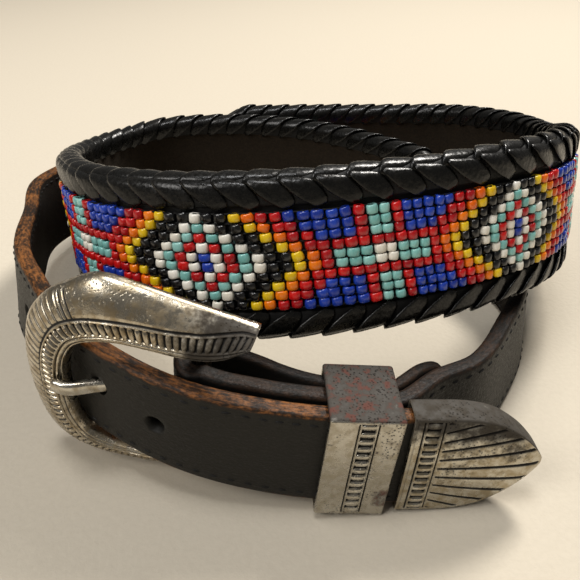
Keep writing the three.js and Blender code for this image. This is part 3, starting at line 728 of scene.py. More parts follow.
def round_cutter(distance, radius, reach):
    station = Stations(distance)
    turns = full_turn(32)
    rings = []
    for out in (-reach, reach):
        ring = station.middle[0] + station.out[0] * out
        across = station.along[0] * np.cos(turns)[:, None] + station.up[0] * np.sin(turns)[:, None]
        rings.append(ring + across * radius)
    return tube(np.array(rings))


def stitches(pile, stations, outward, rows, length=2.3, wide=0.34):
    """Short rounded dashes of thread, one at each station, in rows at heights up the strap; their
    near-black colour is the black thread with the shade of the stitch holes painted in.
    """
    turns = full_turn(6)
    shares = np.array([-1.0, -0.86, -0.4, 0.4, 0.86, 1.0])
    sizes = np.array([0.15, 0.7, 1.0, 1.0, 0.7, 0.15])
    sign = np.sign(outward)
    for i in range(len(stations.distance)):
        for row in rows:
            tilt = chance.uniform(-0.12, 0.12)
            ahead = shares[:, None] * length / 2 + np.zeros(6)
            across = outward + sign * (np.sin(turns) * 0.3 - 0.55 * shares[:, None] ** 4) * sizes[:, None]
            rise = row + np.cos(turns) * wide * sizes[:, None] + shares[:, None] * tilt
            middle, along = stations.middle[i], stations.along[i]
            points = middle + along * ahead[..., None] + stations.out[i] * across[..., None]
            points = points + stations.up[i] * rise[..., None]
            pile.add(*tube(points), chance.uniform())


strap_half = STRAP_WIDTH / 2
billet_stations = Stations(spread(TIP_START, body_from - GAP, 1.6))
billet = strap_piece("billet_leather", billet_stations, LEATHER, strap_half, "billet")

body_stations = Stations(spread(body_from, body_to, 2.0))
body_half = leather_half(body_stations.distance)
strap_piece("body_leather", body_stations, LEATHER, body_half, "belt_body")


class Turned:
    """Stations that aren't on the route, such as those of the fold round the bar."""

    def __init__(self, middle, out, up, along, distance):
        self.middle, self.out, self.up, self.along = (np.array(v) for v in (middle, out, up, along))
        self.distance = np.array(distance, float)

    rings = Stations.rings
    place = Stations.place


FOLD_STEP = 1.8
FOLD_END_WIDTH = 0.72


def fold_stations():
    """The buckle strap to the bar, round it and back, with its thickness and width's share."""
    incoming = Stations(spread(body_to + GAP, route.length, FOLD_STEP))
    at_end = Stations(route.length)
    along = unit(at_end.along[0] - seat_up * at_end.along[0].dot(seat_up))
    front = unit(at_end.out[0] - seat_up * at_end.out[0].dot(seat_up))
    parts = (incoming.middle, incoming.out, incoming.up, incoming.along)
    middle, outs, ups, alongs = (list(part) for part in parts)
    distance = list(incoming.distance)
    thickness = [LEATHER] * len(distance)
    rounding = [1.0] * len(distance)
    for angle in np.linspace(10, 170, 17):
        turned = math.radians(angle)
        thick = lerp(LEATHER, FOLD_LEATHER, angle / 180)
        out = front * math.cos(turned) + along * math.sin(turned)
        middle.append(seat_points(0, -BUCKLE_RISE, 0) + out * (BAR_HOLD + thick / 2))
        outs.append(out)
        ups.append(seat_up)
        alongs.append(np.cross(seat_up, out))
        thickness.append(thick)
        rounding.append(1.0)
        distance.append(distance[-1] + 1.3)
    backs = spread(0, fold_length - FOLD_END_ROUND, FOLD_STEP)
    for back in np.append(backs, np.linspace(-6, 0, 9) + fold_length):
        under = Stations(route.length - back)
        share = smoothstep(back, 0, bar_to_keeper)
        touching = LEATHER / 2 + GAP + FOLD_LEATHER / 2
        apart = BAR_HOLD * 2 + LEATHER / 2 + FOLD_LEATHER / 2
        middle.append(under.place(-lerp(apart, touching, share), 0)[0])
        outs.append(-under.out[0])
        ups.append(under.up[0])
        alongs.append(-under.along[0])
        thickness.append(FOLD_LEATHER)
        left = np.clip((fold_length - back) / FOLD_END_ROUND, 0, 1)
        rounding.append(lerp(FOLD_END_WIDTH, 1, math.sqrt(1 - (1 - left) ** 2)))
        distance.append(distance[-1] + FOLD_STEP)
    return Turned(middle, outs, ups, alongs, distance), np.array(thickness), np.array(rounding)


fold, fold_thickness, fold_share = fold_stations()
fold_half = strap_half * fold_share
buckle_strap = strap_piece("buckle_strap_leather", fold, fold_thickness, fold_half, "buckle_strap")

STITCH_PITCH = 3.7
STITCH_INSET = 2.4
STITCH_SUNK = 0.02
threads = Pile()
stitch_rows = (strap_half - STITCH_INSET, STITCH_INSET - strap_half)
stitched = ((TIP_START + TIP_MOUTH + 2, body_from - 2), (body_to + 2, route.length - 3))
for first, last in stitched:
    for side in (1, -1):
        places = Stations(np.arange(first, last, STITCH_PITCH))
        stitches(threads, places, side * (LEATHER / 2 - STITCH_SUNK), stitch_rows)
threads.piece("strap_stitches", [thread_and_painted_shade_look], "leather")


# Beads

BEAD_ROWS = 10
BEAD_PITCH = 2.87
BEAD_HALF = 1.12
BEAD_SIDES = 12
EYE_AT = 576.9
COLUMN_SLANT = 0.16
# Colours from an eye's middle outwards, for the rows from an edge to the middle
CHART = [
    "WKKYORRBBBBBRT",
    "TWKKYORRBBBBRT",
    "RTWKKYORRBBBRT",
    "WRTWKKYORRRRRR",
    "BWRTWKKYORTTTW",
]
REPEAT = 27
PALETTE = {
    "W": ("bead_white", colour(228, 221, 206), colour(246, 243, 234), 0.15),
    "T": ("bead_turquoise", colour(112, 176, 170), colour(152, 205, 198), 0.15),
    "R": ("bead_red", colour(150, 8, 20), colour(214, 24, 20), 0.05),
    "O": ("bead_orange", colour(222, 92, 4), colour(244, 132, 14), 0.08),
    "Y": ("bead_yellow", colour(214, 172, 6), colour(240, 206, 34), 0.08),
    "B": ("bead_blue", colour(18, 44, 138), colour(34, 72, 186), 0.05),
    "K": ("bead_black", colour(6, 6, 7), colour(15, 15, 17), 0.0),
}


def column_places():
    """Where each column of beads lies, with the column's number from an eye's middle."""
    margin = BEAD_STRIP_INSET + 1.2 + COLUMN_SLANT * BEAD_STRIP_WIDTH / 2
    low, high = wide_from + margin, wide_to - margin
    columns = np.arange(-120, 120)
    step = BEAD_PITCH - 0.55 * smoothstep(columns, 11, 17) * (1 - smoothstep(columns, 30, 38))
    place = np.concatenate([[0], np.cumsum((step[1:] + step[:-1]) / 2)])
    place = EYE_AT - (place - place[120])
    kept = (place > low) & (place < high)
    return place[kept], columns[kept], step[kept]


def bead_template():
    """A barrel bead round its hole: a profile of (across, up), turned."""
    upper = [(1.0, 0), (0.98, 0.6), (0.86, 0.93), (0.62, 1.0), (0.36, 0.9)]
    profile = np.array([(across, -up) for across, up in upper[:0:-1]] + upper)
    turns = full_turn(BEAD_SIDES) + 0.26
    reach = square_reach(turns, 2.6)
    ahead = profile[:, :1] * np.cos(turns) * reach
    outward = profile[:, :1] * np.sin(turns) * reach
    rise = np.repeat(profile[:, 1:], BEAD_SIDES, axis=1)
    points = np.stack([ahead, outward, rise], axis=-1).reshape(-1, 3)
    return points, grid_faces(len(profile), BEAD_SIDES)


def make_beads():
    places, columns, steps = column_places()
    template, faces = bead_template()
    pitch = BEAD_STRIP_WIDTH / BEAD_ROWS
    heights = BEAD_STRIP_WIDTH / 2 - (np.arange(BEAD_ROWS) + 0.5) * pitch
    sorted_beads = {key: [] for key in PALETTE}
    for place, column, step in zip(places, columns, steps):
        shift_row = chance.normal(0, 0.10)
        from_eye = min(column % REPEAT, REPEAT - column % REPEAT)
        for row in range(BEAD_ROWS):
            key = CHART[min(row, BEAD_ROWS - 1 - row)][from_eye]
            up = heights[row] + chance.normal(0, 0.06)
            at = place + COLUMN_SLANT * heights[row] + shift_row + chance.normal(0, 0.09)
            long = step / 2 * chance.uniform(0.86, 1.0)
            tall = chance.uniform(0.82, 0.99)
            tilt = chance.normal(0, 0.09)
            sorted_beads[key].append((at, up, long, tall, tilt, chance.uniform()))
    for key, beads in sorted_beads.items():
        beads = np.array(beads)
        stations = Stations(beads[:, 0])
        long, tall, tilt = beads[:, 2, None], beads[:, 3, None] * pitch / 2, beads[:, 4, None]
        ahead = template[:, 0] * long
        outward = template[:, 1] * (BEAD_HALF + 0.1 * chance.normal(size=(len(beads), 1)).clip(-1, 1))
        rise = template[:, 2] * tall
        ahead, rise = ahead - rise * tilt, rise + ahead * tilt
        proud = 0.08 * chance.normal(size=(len(beads), 1)).clip(-1.5, 1)
        centre = LEATHER / 2 + BEAD_DEPTH - BEAD_HALF + proud
        points = stations.middle[:, None] + stations.along[:, None] * ahead[..., None]
        points = points + stations.out[:, None] * (centre + outward)[..., None]
        points = points + stations.up[:, None] * (beads[:, 1, None] + rise)[..., None]
        quads = (faces[None] + np.arange(len(beads))[:, None, None] * len(template)).reshape(-1, 4)
        points, quads, _ = face_out(points.reshape(-1, 3), quads, np.zeros((0, 3), int))
        name = PALETTE[key][0]
        tints = {"tint": np.repeat(beads[:, 5], len(template))}
        add_piece(name, points, [quads], [bead_look(*PALETTE[key])], ["bead_strip"], tints)


def make_weave():
    """The near-black backing, painted shade showing in the gaps between the beads, and the black warp
    threads between the rows of beads.
    """
    pile = Pile()
    low, high = wide_from + BEAD_STRIP_INSET, wide_to - BEAD_STRIP_INSET
    stations = Stations(spread(low, high, 2.4))
    half = BEAD_STRIP_WIDTH / 2 - 0.25
    base = LEATHER / 2 + 0.05
    section = np.array([(base, -half), (base + 0.9, -half + 0.2), (base + 0.9, half - 0.2), (base, half)])
    pile.add(*tube(stations.rings(np.broadcast_to(section, (len(stations.distance), 4, 2)))), 0.2)
    turns = full_turn(6)
    for row in range(BEAD_ROWS + 1):
        height = half - row * 2 * half / BEAD_ROWS
        wander = 0.05 * np.sin(stations.distance[:, None] * 0.9 + row)
        outward = base + 1.25 + 0.32 * np.cos(turns) + wander
        rise = height + 0.2 * np.sin(turns) + wander
        pile.add(*tube(stations.rings(np.stack([outward, rise], axis=-1))), 0.6)
    pile.piece("bead_weave", [thread_and_painted_shade_look], "beads")


make_beads()
make_weave()


# Laced edges

STRAND_PITCH = 7.0
STRAND_SLANT = 0.86
STRAND_HALF = 3.5
STRANDS_MEET = 3.3
STRAND_OVERLAP = 1.7
STRANDS_FROM = 3.4
STRAND_THICK = 0.36
STRAND_TILT = 0.42
# The way of a strand over the edge, from the outer face to the inner: outward, then up from the crest
STRAND_ROWS = [
    (2.75, -7.75),
    (3.25, -7.3),
    (3.42, -6.2),
    (3.45, -4.6),
    (3.4, -3.0),
    (3.1, -1.6),
    (2.3, -0.75),
    (1.1, -0.5),
    (0, -0.45),
    (-1.0, -0.55),
    (-2.0, -0.9),
    (-2.75, -1.7),
    (-3.0, -3.0),
    (-3.0, -4.8),
    (-2.8, -6.3),
    (-2.3, -7.2),
]


def crest_at(distance):
    return leather_half(distance) + GAP + LACING_CREST


def make_lacing(side, name, stands_for):
    low, high = body_from + LACING_INSET, body_to - LACING_INSET
    path, reached = even_curve(STRAND_ROWS, 60)
    total = reached[-1]
    crest = reached[np.argmin(np.abs(path[:, 0]))]
    normal = np.gradient(path, reached, axis=0)
    normal = unit(np.stack([-normal[:, 1], normal[:, 0]], axis=1))
    if normal[10, 0] < 0:
        normal = -normal
    pile = Pile()
    # The core fills the braid with near-black: painted shade seen through the gaps between the strands
    core = np.vstack([path * 0.86 + [0, -0.5], [[-2.2, -1.3], [2.2, -1.3]]])
    stations = Stations(spread(low + 0.5, high - 0.5, 2.5))
    section = np.repeat(core[None], len(stations.distance), axis=0)
    section[..., 1] = side * (crest_at(stations.distance)[:, None] + section[..., 1])
    pile.add(*tube(stations.rings(section)), 0.0)
    pile.piece(name + "_core", [core_leather_with_painted_shade], "lacing", stands_for)

    pile = Pile()
    steps, around = 20, 12
    t = np.linspace(0, 1, steps)
    turns = full_turn(around) + 0.3
    wide = np.sign(np.cos(turns)) * np.abs(np.cos(turns)) ** 0.6
    thick = np.sign(np.sin(turns)) * np.abs(np.sin(turns)) ** 0.7
    width = np.interp(t, [0, 0.1, 0.28, 0.48, 0.76, 1], [0.12, 0.42, 0.82, 1, 1, 0.4])
    sink = np.interp(t, [0, 0.06, 0.2, 0.66, 0.82, 1], [-0.6, -0.15, 0, 0.15, -0.25, -1.1])
    run = high - low
    for outer in (True, False):
        meeting = crest - STRANDS_MEET
        reach = (meeting if outer else total - meeting) + STRAND_OVERLAP
        q = t * reach if outer else total - t * reach
        ahead = STRAND_SLANT * np.abs(q - (0 if outer else total))
        centre = np.stack([np.interp(q, reached, path[:, k]) for k in range(2)], axis=1)
        facing = np.stack([np.interp(q, reached, normal[:, k]) for k in range(2)], axis=1)
        first = 0 if outer else STRAND_PITCH / 2
        for i in range(int((run - ahead[-1]) / STRAND_PITCH)):
            start = low + STRANDS_FROM + first + i * STRAND_PITCH + chance.normal(0, 0.12)
            size = chance.uniform(0.96, 1.04)
            along = start + ahead[:, None] + wide * width[:, None] * STRAND_HALF * size
            along = np.clip(along, low, high)
            height = sink[:, None] + thick * STRAND_THICK * width[:, None] + wide * STRAND_TILT
            height = height + chance.normal(0, 0.04)
            out = centre[:, :1] + facing[:, :1] * height
            up = side * (crest_at(along) + centre[:, 1:] + facing[:, 1:] * height)
            there = Stations(along.ravel())
            points = there.place(out.ravel(), up.ravel()).reshape(steps, around, 3)
            pile.add(*tube(points), chance.uniform())
    pile.piece(name + "_strands", [lacing_leather], "lacing")


make_lacing(1, "upper_lacing", ["upper_lacing"])
make_lacing(-1, "lower_lacing", ["lower_lacing"])


# Silver


def ring_faces(rows, columns):
    """Quads over a grid that closes in both directions."""
    return grid_faces(rows + 1, columns) % (rows * columns)


def hump(x, centre, half):
    return np.clip(1 - ((x - centre) / half) ** 2, 0, 1)


def ladder(across, run, pitch):
    """Relief in mm of a band of rounded bars between two rails; across runs from 0 to 1."""
    y = np.abs(across * 2 - 1)
    x = (run / pitch + 0.5) % 1 - 0.5
    relief = 0.22 * hump(y, 0.78, 0.1) - 0.5 * hump(y, 0.95, 0.08)
    cell = 1 - smoothstep(y, 0.64, 0.69)
    bars = np.sqrt(np.clip(1 - (x / 0.41) ** 2 - (y / 0.8) ** 4, 0, 1))
    relief = relief + cell * (-0.5 + 0.75 * bars)
    return np.where(y > 1.02, 0, relief)


def silver_piece(name, points, quads, tris, relief, look, stands_for=(), stain=0.0):
    recess = np.clip(-np.asarray(relief).ravel() / 0.34, 0, 1)
    rest = np.zeros(len(points) - len(recess))
    values = {
        "recess": np.concatenate([recess, rest]),
        "stain": np.concatenate([(stain + 0 * np.asarray(relief)).ravel(), rest]),
    }
    return add_piece(name, points, [quads, tris], [look], stands_for, values=values)


# The outline from the middle of the rim to the end of a wing: along the buckle outside and
# inside, as shares of its length, then the upper wing's outside and inside and the lower wing's,
# as shares of half its height, which the upper shoulder rises past
FRAME_ROWS = [
    (0.770, 0.552, 0, 0, 0, 0),
    (0.760, 0.548, 0.31, 0.19, 0.31, 0.19),
    (0.722, 0.527, 0.60, 0.38, 0.62, 0.38),
    (0.640, 0.479, 0.84, 0.54, 0.83, 0.53),
    (0.527, 0.398, 1.01, 0.62, 0.92, 0.59),
    (0.406, 0.304, 1.13, 0.65, 0.93, 0.61),
    (0.254, 0.193, 1.10, 0.65, 0.915, 0.61),
    (0.101, 0.071, 1.04, 0.64, 0.86, 0.61),
    (-0.041, -0.030, 0.99, 0.66, 0.82, 0.61),
    (-0.142, -0.105, 0.955, 0.72, 0.79, 0.62),
    (-0.203, -0.174, 0.935, 0.83, 0.77, 0.66),
    (-0.221, -0.211, 0.92, 0.89, 0.75, 0.69),
]
DOME_ROWS = [(0, 0.24), (0.1, 0), (0.4, 0.08), (0.75, 0.45), (0.94, 0.82), (1, 1.05)]
RIM = 1.9
LADDER_WIDTH = 4.0
LADDER_PITCH = 1.5
RAY_PITCH = 1.5
RAYS_REACH = 19.6
CROSS_LINES = (20.2, 21.3)


def frame_outline(count):
    """Pairs of outer and inner points, even along the frame, and how far along they are."""
    rows = np.array(FRAME_ROWS)
    upper, lower = (
        rows[:, [0, first, 1, first + 1]] * ([BUCKLE_LENGTH, side * BUCKLE_HEIGHT / 2] * 2)
        for first, side in ((2, 1), (4, -1))
    )
    fine = smooth_rows(np.vstack([lower[:0:-1], upper]), 40)
    line = lerp(fine[:, 2:], fine[:, :2], 0.3)
    reached = np.concatenate([[0], np.cumsum(np.linalg.norm(np.diff(line, axis=0), axis=1))])
    wanted = np.linspace(0, reached[-1], count)
    even = np.stack([np.interp(wanted, reached, fine[:, k]) for k in range(4)], axis=1)
    return even, wanted


def make_frame():
    outline, run = frame_outline(820)
    outer, inner = outline[:, :2], outline[:, 2:]
    width = np.linalg.norm(outer - inner, axis=1)[:, None]
    from_end = np.minimum(run, run[-1] - run)[:, None]
    share = lerp(0.92, 0.64, smoothstep(from_end, 3, 13))
    scale = np.minimum(1, share * width / (RIM + LADDER_WIDTH))
    border = (RIM + LADDER_WIDTH) * scale / width
    front = np.hstack([np.linspace(0, 1, 34) * border, border + (1 - border) * np.linspace(0, 1, 13)[1:]])
    dome = smooth_rows(DOME_ROWS, 20)
    height = DOME_TOP - np.interp(front, dome[:, 0], dome[:, 1]) * BUCKLE_DOME
    place = front * width / scale
    line = run[:, None] + 0 * front
    relief = ladder((place - RIM) / LADDER_WIDTH, line, LADDER_PITCH)
    relief = relief - 0.3 * hump(place, 0.95, 0.2) + 0.12 * hump(place, 0.45, 0.45)
    relief = relief + 0.12 * hump(place, 1.4, 0.35)
    rim_middle = run[np.argmax(outer[:, 0])]
    middle = np.abs(line - rim_middle)
    beyond = smoothstep(place, RIM + LADDER_WIDTH + 0.1, RIM + LADDER_WIDTH + 0.4)
    flank = (1 - smoothstep(middle, RAYS_REACH, RAYS_REACH + 0.2)) * beyond
    relief = relief - 0.24 * flank * hump((line / RAY_PITCH) % 1, 0.5, 0.16)
    relief = relief - 0.3 * beyond * sum(hump(middle, at, 0.28) for at in CROSS_LINES)
    relief = relief * smoothstep(from_end, 0.2, 0.9) * (1 - smoothstep(front, 0.95, 1.0))
    height = height + relief
    back_share = np.array([1.0, 0.97, 0.8, 0.6, 0.4, 0.2, 0.05, 0.0])
    back = DOME_TOP - BUCKLE_METAL - back_share**2 * BUCKLE_DOME * 0.85
    edge_height = height[:, -1:] + (back[0] + 0.3 - height[:, -1:]) * np.array([0.25, 0.62, 0.95])
    inner_height = height[:, :1] + (back[-1] - height[:, :1]) * np.array([0.12, 0.4, 0.75])[::-1]
    many = np.ones((len(run), 1))
    shares = [front, 1 + np.array([0.2, 0.16, 0.02]) / width, many * back_share[1:]]
    shares = np.hstack([*shares, -np.array([0.02, 0.12, 0.08]) / width])
    heights = np.hstack([height, edge_height, many * back[1:], inner_height])
    flat = inner[:, None] + (outer - inner)[:, None] * shares[..., None]
    points, quads, tris = tube(seat_points(flat[..., 0], flat[..., 1], heights))
    full = np.zeros(shares.shape)
    full[:, : front.shape[1]] = relief
    stain = np.zeros(shares.shape)
    to_wing = smoothstep(line, run[-1] * 0.72, run[-1] * 0.95)
    polished = smoothstep(line, run[-1] * 0.55, run[-1] * 0.62) * (1 - to_wing)
    stain[:, : front.shape[1]] = to_wing * 0.8 - 0.5 * polished
    silver_piece("buckle_frame_silver", points, quads, tris, full, frame_silver, ["buckle_frame"], stain)


def make_bar():
    """The round bar and the two lugs that hold it."""
    pile = Pile()
    turns = full_turn(28)
    half = BAR_LENGTH / 2
    ends = np.array([0, 0.25, 0.6])
    ups = np.concatenate([ends - half, np.linspace(1 - half, half - 1, 12), half - ends[::-1]])
    sizes = np.interp(np.abs(ups), half - ends[::-1], [1, 0.93, 0.7])[:, None] * BAR_DIAMETER / 2
    rings = seat_points(np.cos(turns) * sizes, ups[:, None] + 0 * turns, np.sin(turns) * sizes)
    pile.add(*tube(rings), 0.1)
    reach = square_reach(turns, 5)
    outs = np.array([-1.6, -1.45, -1.1, 0, 1.5, 3.0, 3.6])
    sizes = np.array([0.7, 0.9, 1, 1, 1, 1, 1])[:, None]
    for side in (-1, 1):
        ahead = np.cos(turns) * reach * BAR_DIAMETER / 2 * sizes
        rise = side * (BAR_LENGTH - LUG_WIDTH) / 2 + np.sin(turns) * reach * LUG_WIDTH / 2 * sizes
        pile.add(*tube(seat_points(ahead, rise, outs[:, None] + 0 * turns)), 0.25)
    pile.piece("buckle_bar_silver", [frame_silver], "silver", ["buckle_frame"], key="recess")


def prong_line():
    hook = BAR_DIAMETER / 2 + GAP + PRONG_THICKNESS / 2
    rest = DOME_TOP + GAP + PRONG_THICKNESS / 2
    turns = np.radians(np.arange(-30, -271, -30))
    path = [(hook * math.cos(turn), hook * math.sin(turn)) for turn in turns]
    path.append((PRONG_REACH * 0.3, lerp(hook, rest, -0.08)))
    path.append((PRONG_REACH * 0.5, lerp(hook, rest, 0.06)))
    path.append((PRONG_REACH * 0.7, lerp(hook, rest, 0.55)))
    path.append((PRONG_REACH * 0.86, rest))
    path.append((PRONG_REACH * 0.95, rest - 0.1))
    path.append((PRONG_REACH, rest - 0.3))
    return even_curve(path, 130)


def prong_cutter():
    """The hole that the prong passes, a little wider than the prong."""
    line, _ = prong_line()
    heading = unit(np.gradient(line, axis=0))
    kept = (line[:, 0] > 7) & (line[:, 1] > 0)
    line, heading = line[kept], heading[kept]
    around = full_turn(24)
    across = np.cos(around) * (HOLE_DIAMETER / 2 + 0.15) + 0 * line[:, :1]
    thick = np.sin(around) * (PRONG_THICKNESS / 2 + 0.55)
    ahead = line[:, :1] - thick * heading[:, 1:]
    out = line[:, 1:] + thick * heading[:, :1]
    return tube(seat_points(ahead, PRONG_RISE + across, out))


def make_prong():
    line, reached = prong_line()
    heading = unit(np.gradient(line, axis=0))
    left = reached[-1] - reached
    start, blunt = (
        np.sqrt(np.clip(1 - (1 - reach / rounded).clip(0, 1) ** 2, 0.02, 1))
        for reach, rounded in ((reached, 1.2), (left, 1.7))
    )
    body_width = np.interp(left, [0, 7, 16, 24], [1.0, 1.0, 0.86, 0.9])
    around = full_turn(22)
    reach = square_reach(around, 2.8)
    scale = (start * blunt)[:, None]
    across = np.cos(around) * reach * PRONG_WIDTH / 2 * scale * body_width[:, None]
    thick = np.sin(around) * reach * PRONG_THICKNESS / 2 * (0.35 + 0.65 * scale)
    ahead = line[:, :1] - thick * heading[:, 1:]
    out = line[:, 1:] + thick * heading[:, :1]
    points, quads, tris = tube(seat_points(ahead, PRONG_RISE + across, out))
    smooth = np.zeros(across.shape)
    silver_piece("prong_silver", points, quads, tris, smooth, prong_silver, ["buckle_prong"])


def rounded_box(low, high, bottom, top, radius, counts):
    """Points round a box: front, top, back, bottom; counts are the front's and the others'."""
    turns = np.radians([10, 30, 50, 70, 85])
    near, far, under, over = high - radius, low + radius, bottom + radius, top - radius
    corners = [(near, under), (near, over), (far, over), (far, under), (near, under)]
    parts = []
    for i in range(4):
        angles = np.append(0, turns) + i * math.pi / 2
        outward = radius * np.stack([np.cos(angles), np.sin(angles)], 1)
        parts.append(np.linspace(corners[i], corners[i + 1], counts[min(i, 1)]) + outward[0])
        parts.append(outward[1:] + corners[i + 1])
    return np.vstack(parts)


KEEPER_STRIPE = -0.24
KEEPER_STRIPE_WIDTH = 4.1
KEEPER_STRIPE_PITCH = 2.1


def make_keeper():
    counts = (180, 16)
    wall = KEEPER_WALL
    outer = rounded_box(
        keeper_back - wall, keeper_front + wall, -keeper_half - wall, keeper_half + wall, 0.75, counts
    )
    inner = rounded_box(keeper_back, keeper_front, -keeper_half, keeper_half, wall / 3, counts)
    normal = unit(outer - inner)
    half = KEEPER_LENGTH / 2
    ends = np.array([0, 0.12, 0.35])
    skin = np.concatenate([ends - half, np.linspace(0.7 - half, half - 0.7, 120), half - ends[::-1]])
    eased = -0.32 * (1 - np.clip((half - np.abs(skin)) / 0.55, 0, 1)) ** 2
    on_front = np.zeros((len(outer), 1))
    on_front[1 : counts[0] - 1] = 1
    stripe = (skin - KEEPER_STRIPE) / KEEPER_STRIPE_WIDTH + 0.5
    relief = ladder(stripe, outer[:, 1:], KEEPER_STRIPE_PITCH) * on_front
    relief = np.where(np.abs(stripe - 0.5) < 0.52, relief, 0)
    offset = relief + eased
    surface = outer[:, None] + normal[:, None] * offset[..., None]
    inside = np.repeat(inner[:, None], 4, axis=1)
    flat = np.concatenate([surface, inside], axis=1)
    depth = np.concatenate([skin, [half - 0.05, half * 0.3, -half * 0.3, -half + 0.05]])
    points = keeper_middle + keeper_across * flat[..., :1] + keeper_station.up[0] * flat[..., 1:]
    points = points + keeper_along * depth[:, None]
    rows, columns = flat.shape[:2]
    full = np.zeros((rows, columns))
    full[:, : len(skin)] = relief
    points, quads, tris = face_out(points.reshape(-1, 3), ring_faces(rows, columns), np.zeros((0, 3), int))
    stain = np.zeros((rows, columns))
    top_rows = slice(counts[0] + 2, counts[0] + 5 + counts[1] + 4)
    stain[top_rows] = 1.0
    lower_part = 1 - smoothstep(outer[: counts[0], 1:], -9, 2)
    stain[: counts[0], : len(skin)] = 0.5 * smoothstep(-skin, 2, 6) * lower_part - 0.15
    silver_piece("keeper_silver", points, quads, tris, full, keeper_silver, ["keeper"], stain)


# From the mouth: share of the length, then of half the height and of half the depth there
TIP_ROWS = [
    (0, 1, 1),
    (0.2, 1, 1),
    (0.4, 0.98, 1),
    (0.6, 0.87, 0.95),
    (0.78, 0.62, 0.85),
    (0.9, 0.37, 0.73),
    (0.97, 0.18, 0.6),
    (1, 0.08, 0.5),
]
TIP_FRONT = 190
TIP_CORNER = 0.045
TIP_BULGE = 0.12
TIP_BAND_FROM = 1.9
TIP_BAND_WIDTH = 4.3
TIP_BAND_PITCH = 2.0
FAN_FROM = 6.4
FAN_PITCH = 2.5
FAN_SPREAD = 0.085
FAN_LINE = 0.26


def tip_ring(high, deep, bulge):
    """A ring round the tip: its crowned front from below, then its top, back and bottom."""
    y = np.linspace(TIP_CORNER - 1, 1 - TIP_CORNER, TIP_FRONT)
    front = np.stack([deep * (1 + bulge * (1 - (y / y[-1]) ** 2)), y * high], 1)
    turns = np.radians([25, 50, 75])
    corner = min(TIP_CORNER * high, deep * 0.4)
    arc = corner * np.stack([np.cos(turns), np.sin(turns)], 1)
    top = arc + [deep - corner, high - corner]
    behind = np.stack([np.full(14, -deep), np.linspace(1, -1, 14) * y[-1] * high], 1)
    corner_back = arc[::-1] * [-1, 1] + [corner - deep, high - corner]
    flip = np.array([1, -1])
    return np.vstack([front, top, corner_back, behind, (corner_back * flip)[::-1], (top * flip)[::-1]])


def make_tip():
    mouth = Stations(TIP_START + TIP_MOUTH)
    rows = smooth_rows(TIP_ROWS, 40)
    x = np.concatenate([np.linspace(0, 27.5, 170), np.linspace(27.6, TIP_LENGTH, 14)])
    high = np.interp(x / TIP_LENGTH, rows[:, 0], rows[:, 1]) * (STRAP_WIDTH / 2 + GAP + TIP_WALL)
    deep = np.interp(x / TIP_LENGTH, rows[:, 0], rows[:, 2]) * (LEATHER / 2 + GAP + TIP_WALL)
    rings = np.array([tip_ring(h, d, TIP_BULGE) for h, d in zip(high, deep)])
    count = rings.shape[1]
    y = rings[..., 1]
    along = x[:, None] + 0 * y
    relief = ladder((along - TIP_BAND_FROM) / TIP_BAND_WIDTH, y, TIP_BAND_PITCH)
    in_band = (along > TIP_BAND_FROM - 0.1) & (along < TIP_BAND_FROM + TIP_BAND_WIDTH + 0.1)
    relief = np.where(in_band, relief, 0)
    ray = y / (FAN_PITCH + FAN_SPREAD * (along - FAN_FROM))
    apart = (ray + 0.5) % 1 - 0.5
    between = 0.5 - ray % 1
    groove = -0.42 * np.exp(-((apart * FAN_PITCH / FAN_LINE) ** 2))
    groove = groove + 0.34 * between * (1 - 2 * np.abs(between)) ** 0.3
    room = smoothstep(along, FAN_FROM + 0.1, FAN_FROM + 0.6)
    room = room * smoothstep(high[:, None] * 0.95 - np.abs(y), 0, 0.25)
    relief = relief + groove * room * smoothstep(TIP_LENGTH - along, 0.2, 0.9)
    relief = relief - 0.16 * hump(along, 0.75, 0.2)
    facing = np.zeros(count)
    step = np.arange(TIP_FRONT)
    facing[:TIP_FRONT] = smoothstep(np.minimum(step, TIP_FRONT - 1 - step), 0, 3)
    relief = relief * facing
    rings[..., 0] = rings[..., 0] + relief
    inner_high, inner_deep = STRAP_WIDTH / 2 + GAP * 0.8, LEATHER / 2 + GAP * 0.8
    inner = tip_ring(inner_high, inner_deep, 0.0)
    eased = tip_ring(high[0] - 0.12, deep[0] - 0.12, TIP_BULGE)
    flat = np.concatenate([[inner, inner, eased], rings])
    depth = np.concatenate([[TIP_MOUTH + 0.4, 0.05, 0.0], np.maximum(x, 0.12)])
    points = mouth.middle[0] + mouth.out[0] * flat[..., :1] + mouth.up[0] * flat[..., 1:]
    points = points - mouth.along[0] * depth[:, None, None]
    points, quads, tris = tube(points)
    full = np.concatenate([np.zeros((3, count)), relief])
    stain = np.zeros(full.shape)
    stain[3:, TIP_FRONT:] = 0.9
    stain[3:, :TIP_FRONT] = 0.7 * smoothstep(y[:, :TIP_FRONT], 5, 12) - 0.2
    silver_piece("tip_silver", points, quads, tris, full, tip_silver, ["tip"], stain)


make_frame()
make_bar()
make_prong()
make_keeper()
make_tip()


# The billet's holes and the slot for the prong in the buckle strap

free_holes = [at for i, at in enumerate(holes_at) if i != HOLE_IN_USE - 1]
cutters = [round_cutter(at, HOLE_DIAMETER / 2, 4) for at in free_holes]
cutters.append(prong_cutter())
carve(billet, cutters)

slot_turns = full_turn(32)
slot_half = (PRONG_WIDTH + 4 * GAP) / 2
slot_ahead = np.cos(slot_turns) * slot_half + np.sign(np.cos(slot_turns)) * (SLOT_LENGTH / 2 - slot_half)
slot_across = np.sin(slot_turns) * slot_half
slot_rings = [
    seat_points(slot_ahead + SLOT_LENGTH * 0.1, PRONG_RISE + slot_across, np.full(32, out))
    for out in (-9.5, 9.5)
]
carve(buckle_strap, [tube(np.array(slot_rings))])


# Floor, light and camera


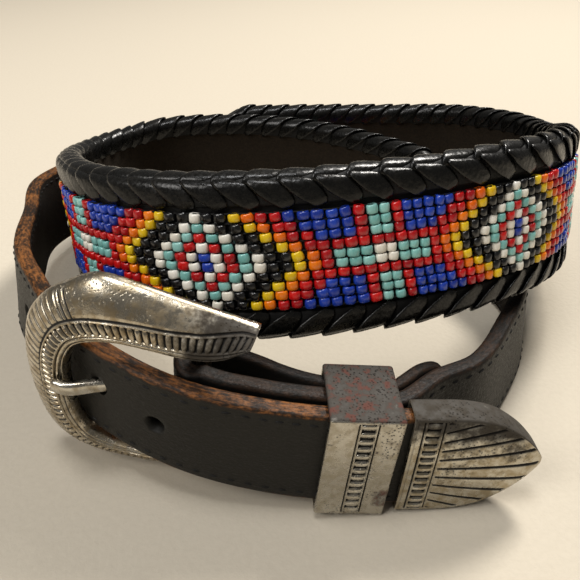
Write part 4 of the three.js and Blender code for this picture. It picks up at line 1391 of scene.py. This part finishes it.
def stage_floor():
    look = Look("floor", Roughness=0.95, Specular_IOR_Level=0.1)
    weave = look.noise(700, 4)
    look.set("Base Color", look.mix(weave, colour(186, 177, 161), colour(196, 187, 171)))
    look.set("Normal", look.bump(weave, 0.0004, 0.3))
    mesh = bpy.data.meshes.new("floor")
    reach = 2.0
    corners = [(x * reach, y * reach, 0) for x, y in ((-1, -1), (1, -1), (1, 1), (-1, 1))]
    mesh.from_pydata(corners, [], [(0, 1, 2, 3)])
    mesh.materials.append(look.material)
    floor = bpy.data.objects.new("floor", mesh)
    bpy.context.scene.collection.objects.link(floor)


def area_light(name, place, target, size, power, tint=(1, 1, 1)):
    data = bpy.data.lights.new(name, "AREA")
    data.shape = "RECTANGLE"
    data.size, data.size_y = size
    data.energy = power
    data.color = tint
    light = bpy.data.objects.new(name, data)
    light.location = place
    heading = Vector(target) - light.location
    light.rotation_euler = heading.to_track_quat("-Z", "Y").to_euler()
    bpy.context.scene.collection.objects.link(light)


def make_camera():
    data = bpy.data.cameras.new("camera")
    data.sensor_width = 36.0
    data.lens = CAMERA_LENS
    data.clip_start = 0.005
    camera = bpy.data.objects.new("camera", data)
    camera.location = [v / 1000 for v in CAMERA]
    camera.rotation_euler = (math.radians(90 - CAMERA_PITCH), 0, 0)
    bpy.context.scene.collection.objects.link(camera)
    bpy.context.scene.camera = camera


def make_world():
    world = bpy.data.worlds.new("studio")
    world.use_nodes = True
    background = world.node_tree.nodes["Background"]
    background.inputs["Color"].default_value = (1.0, 0.96, 0.9, 1.0)
    background.inputs["Strength"].default_value = 0.16
    bpy.context.scene.world = world


stage_floor()
make_world()
area_light("key", (0.42, 0.55, 1.0), (0, 0, 0.03), (0.32, 0.24), 17.0, (1, 0.96, 0.9))
area_light("fill", (-0.7, -0.5, 0.8), (0, 0, 0.03), (0.5, 0.5), 6.5, (1, 0.97, 0.93))
area_light("top", (-0.1, -0.1, 1.0), (0, 0, 0), (0.25, 0.25), 4.0)
make_camera()

bpy.context.scene.view_settings.view_transform = "Standard"
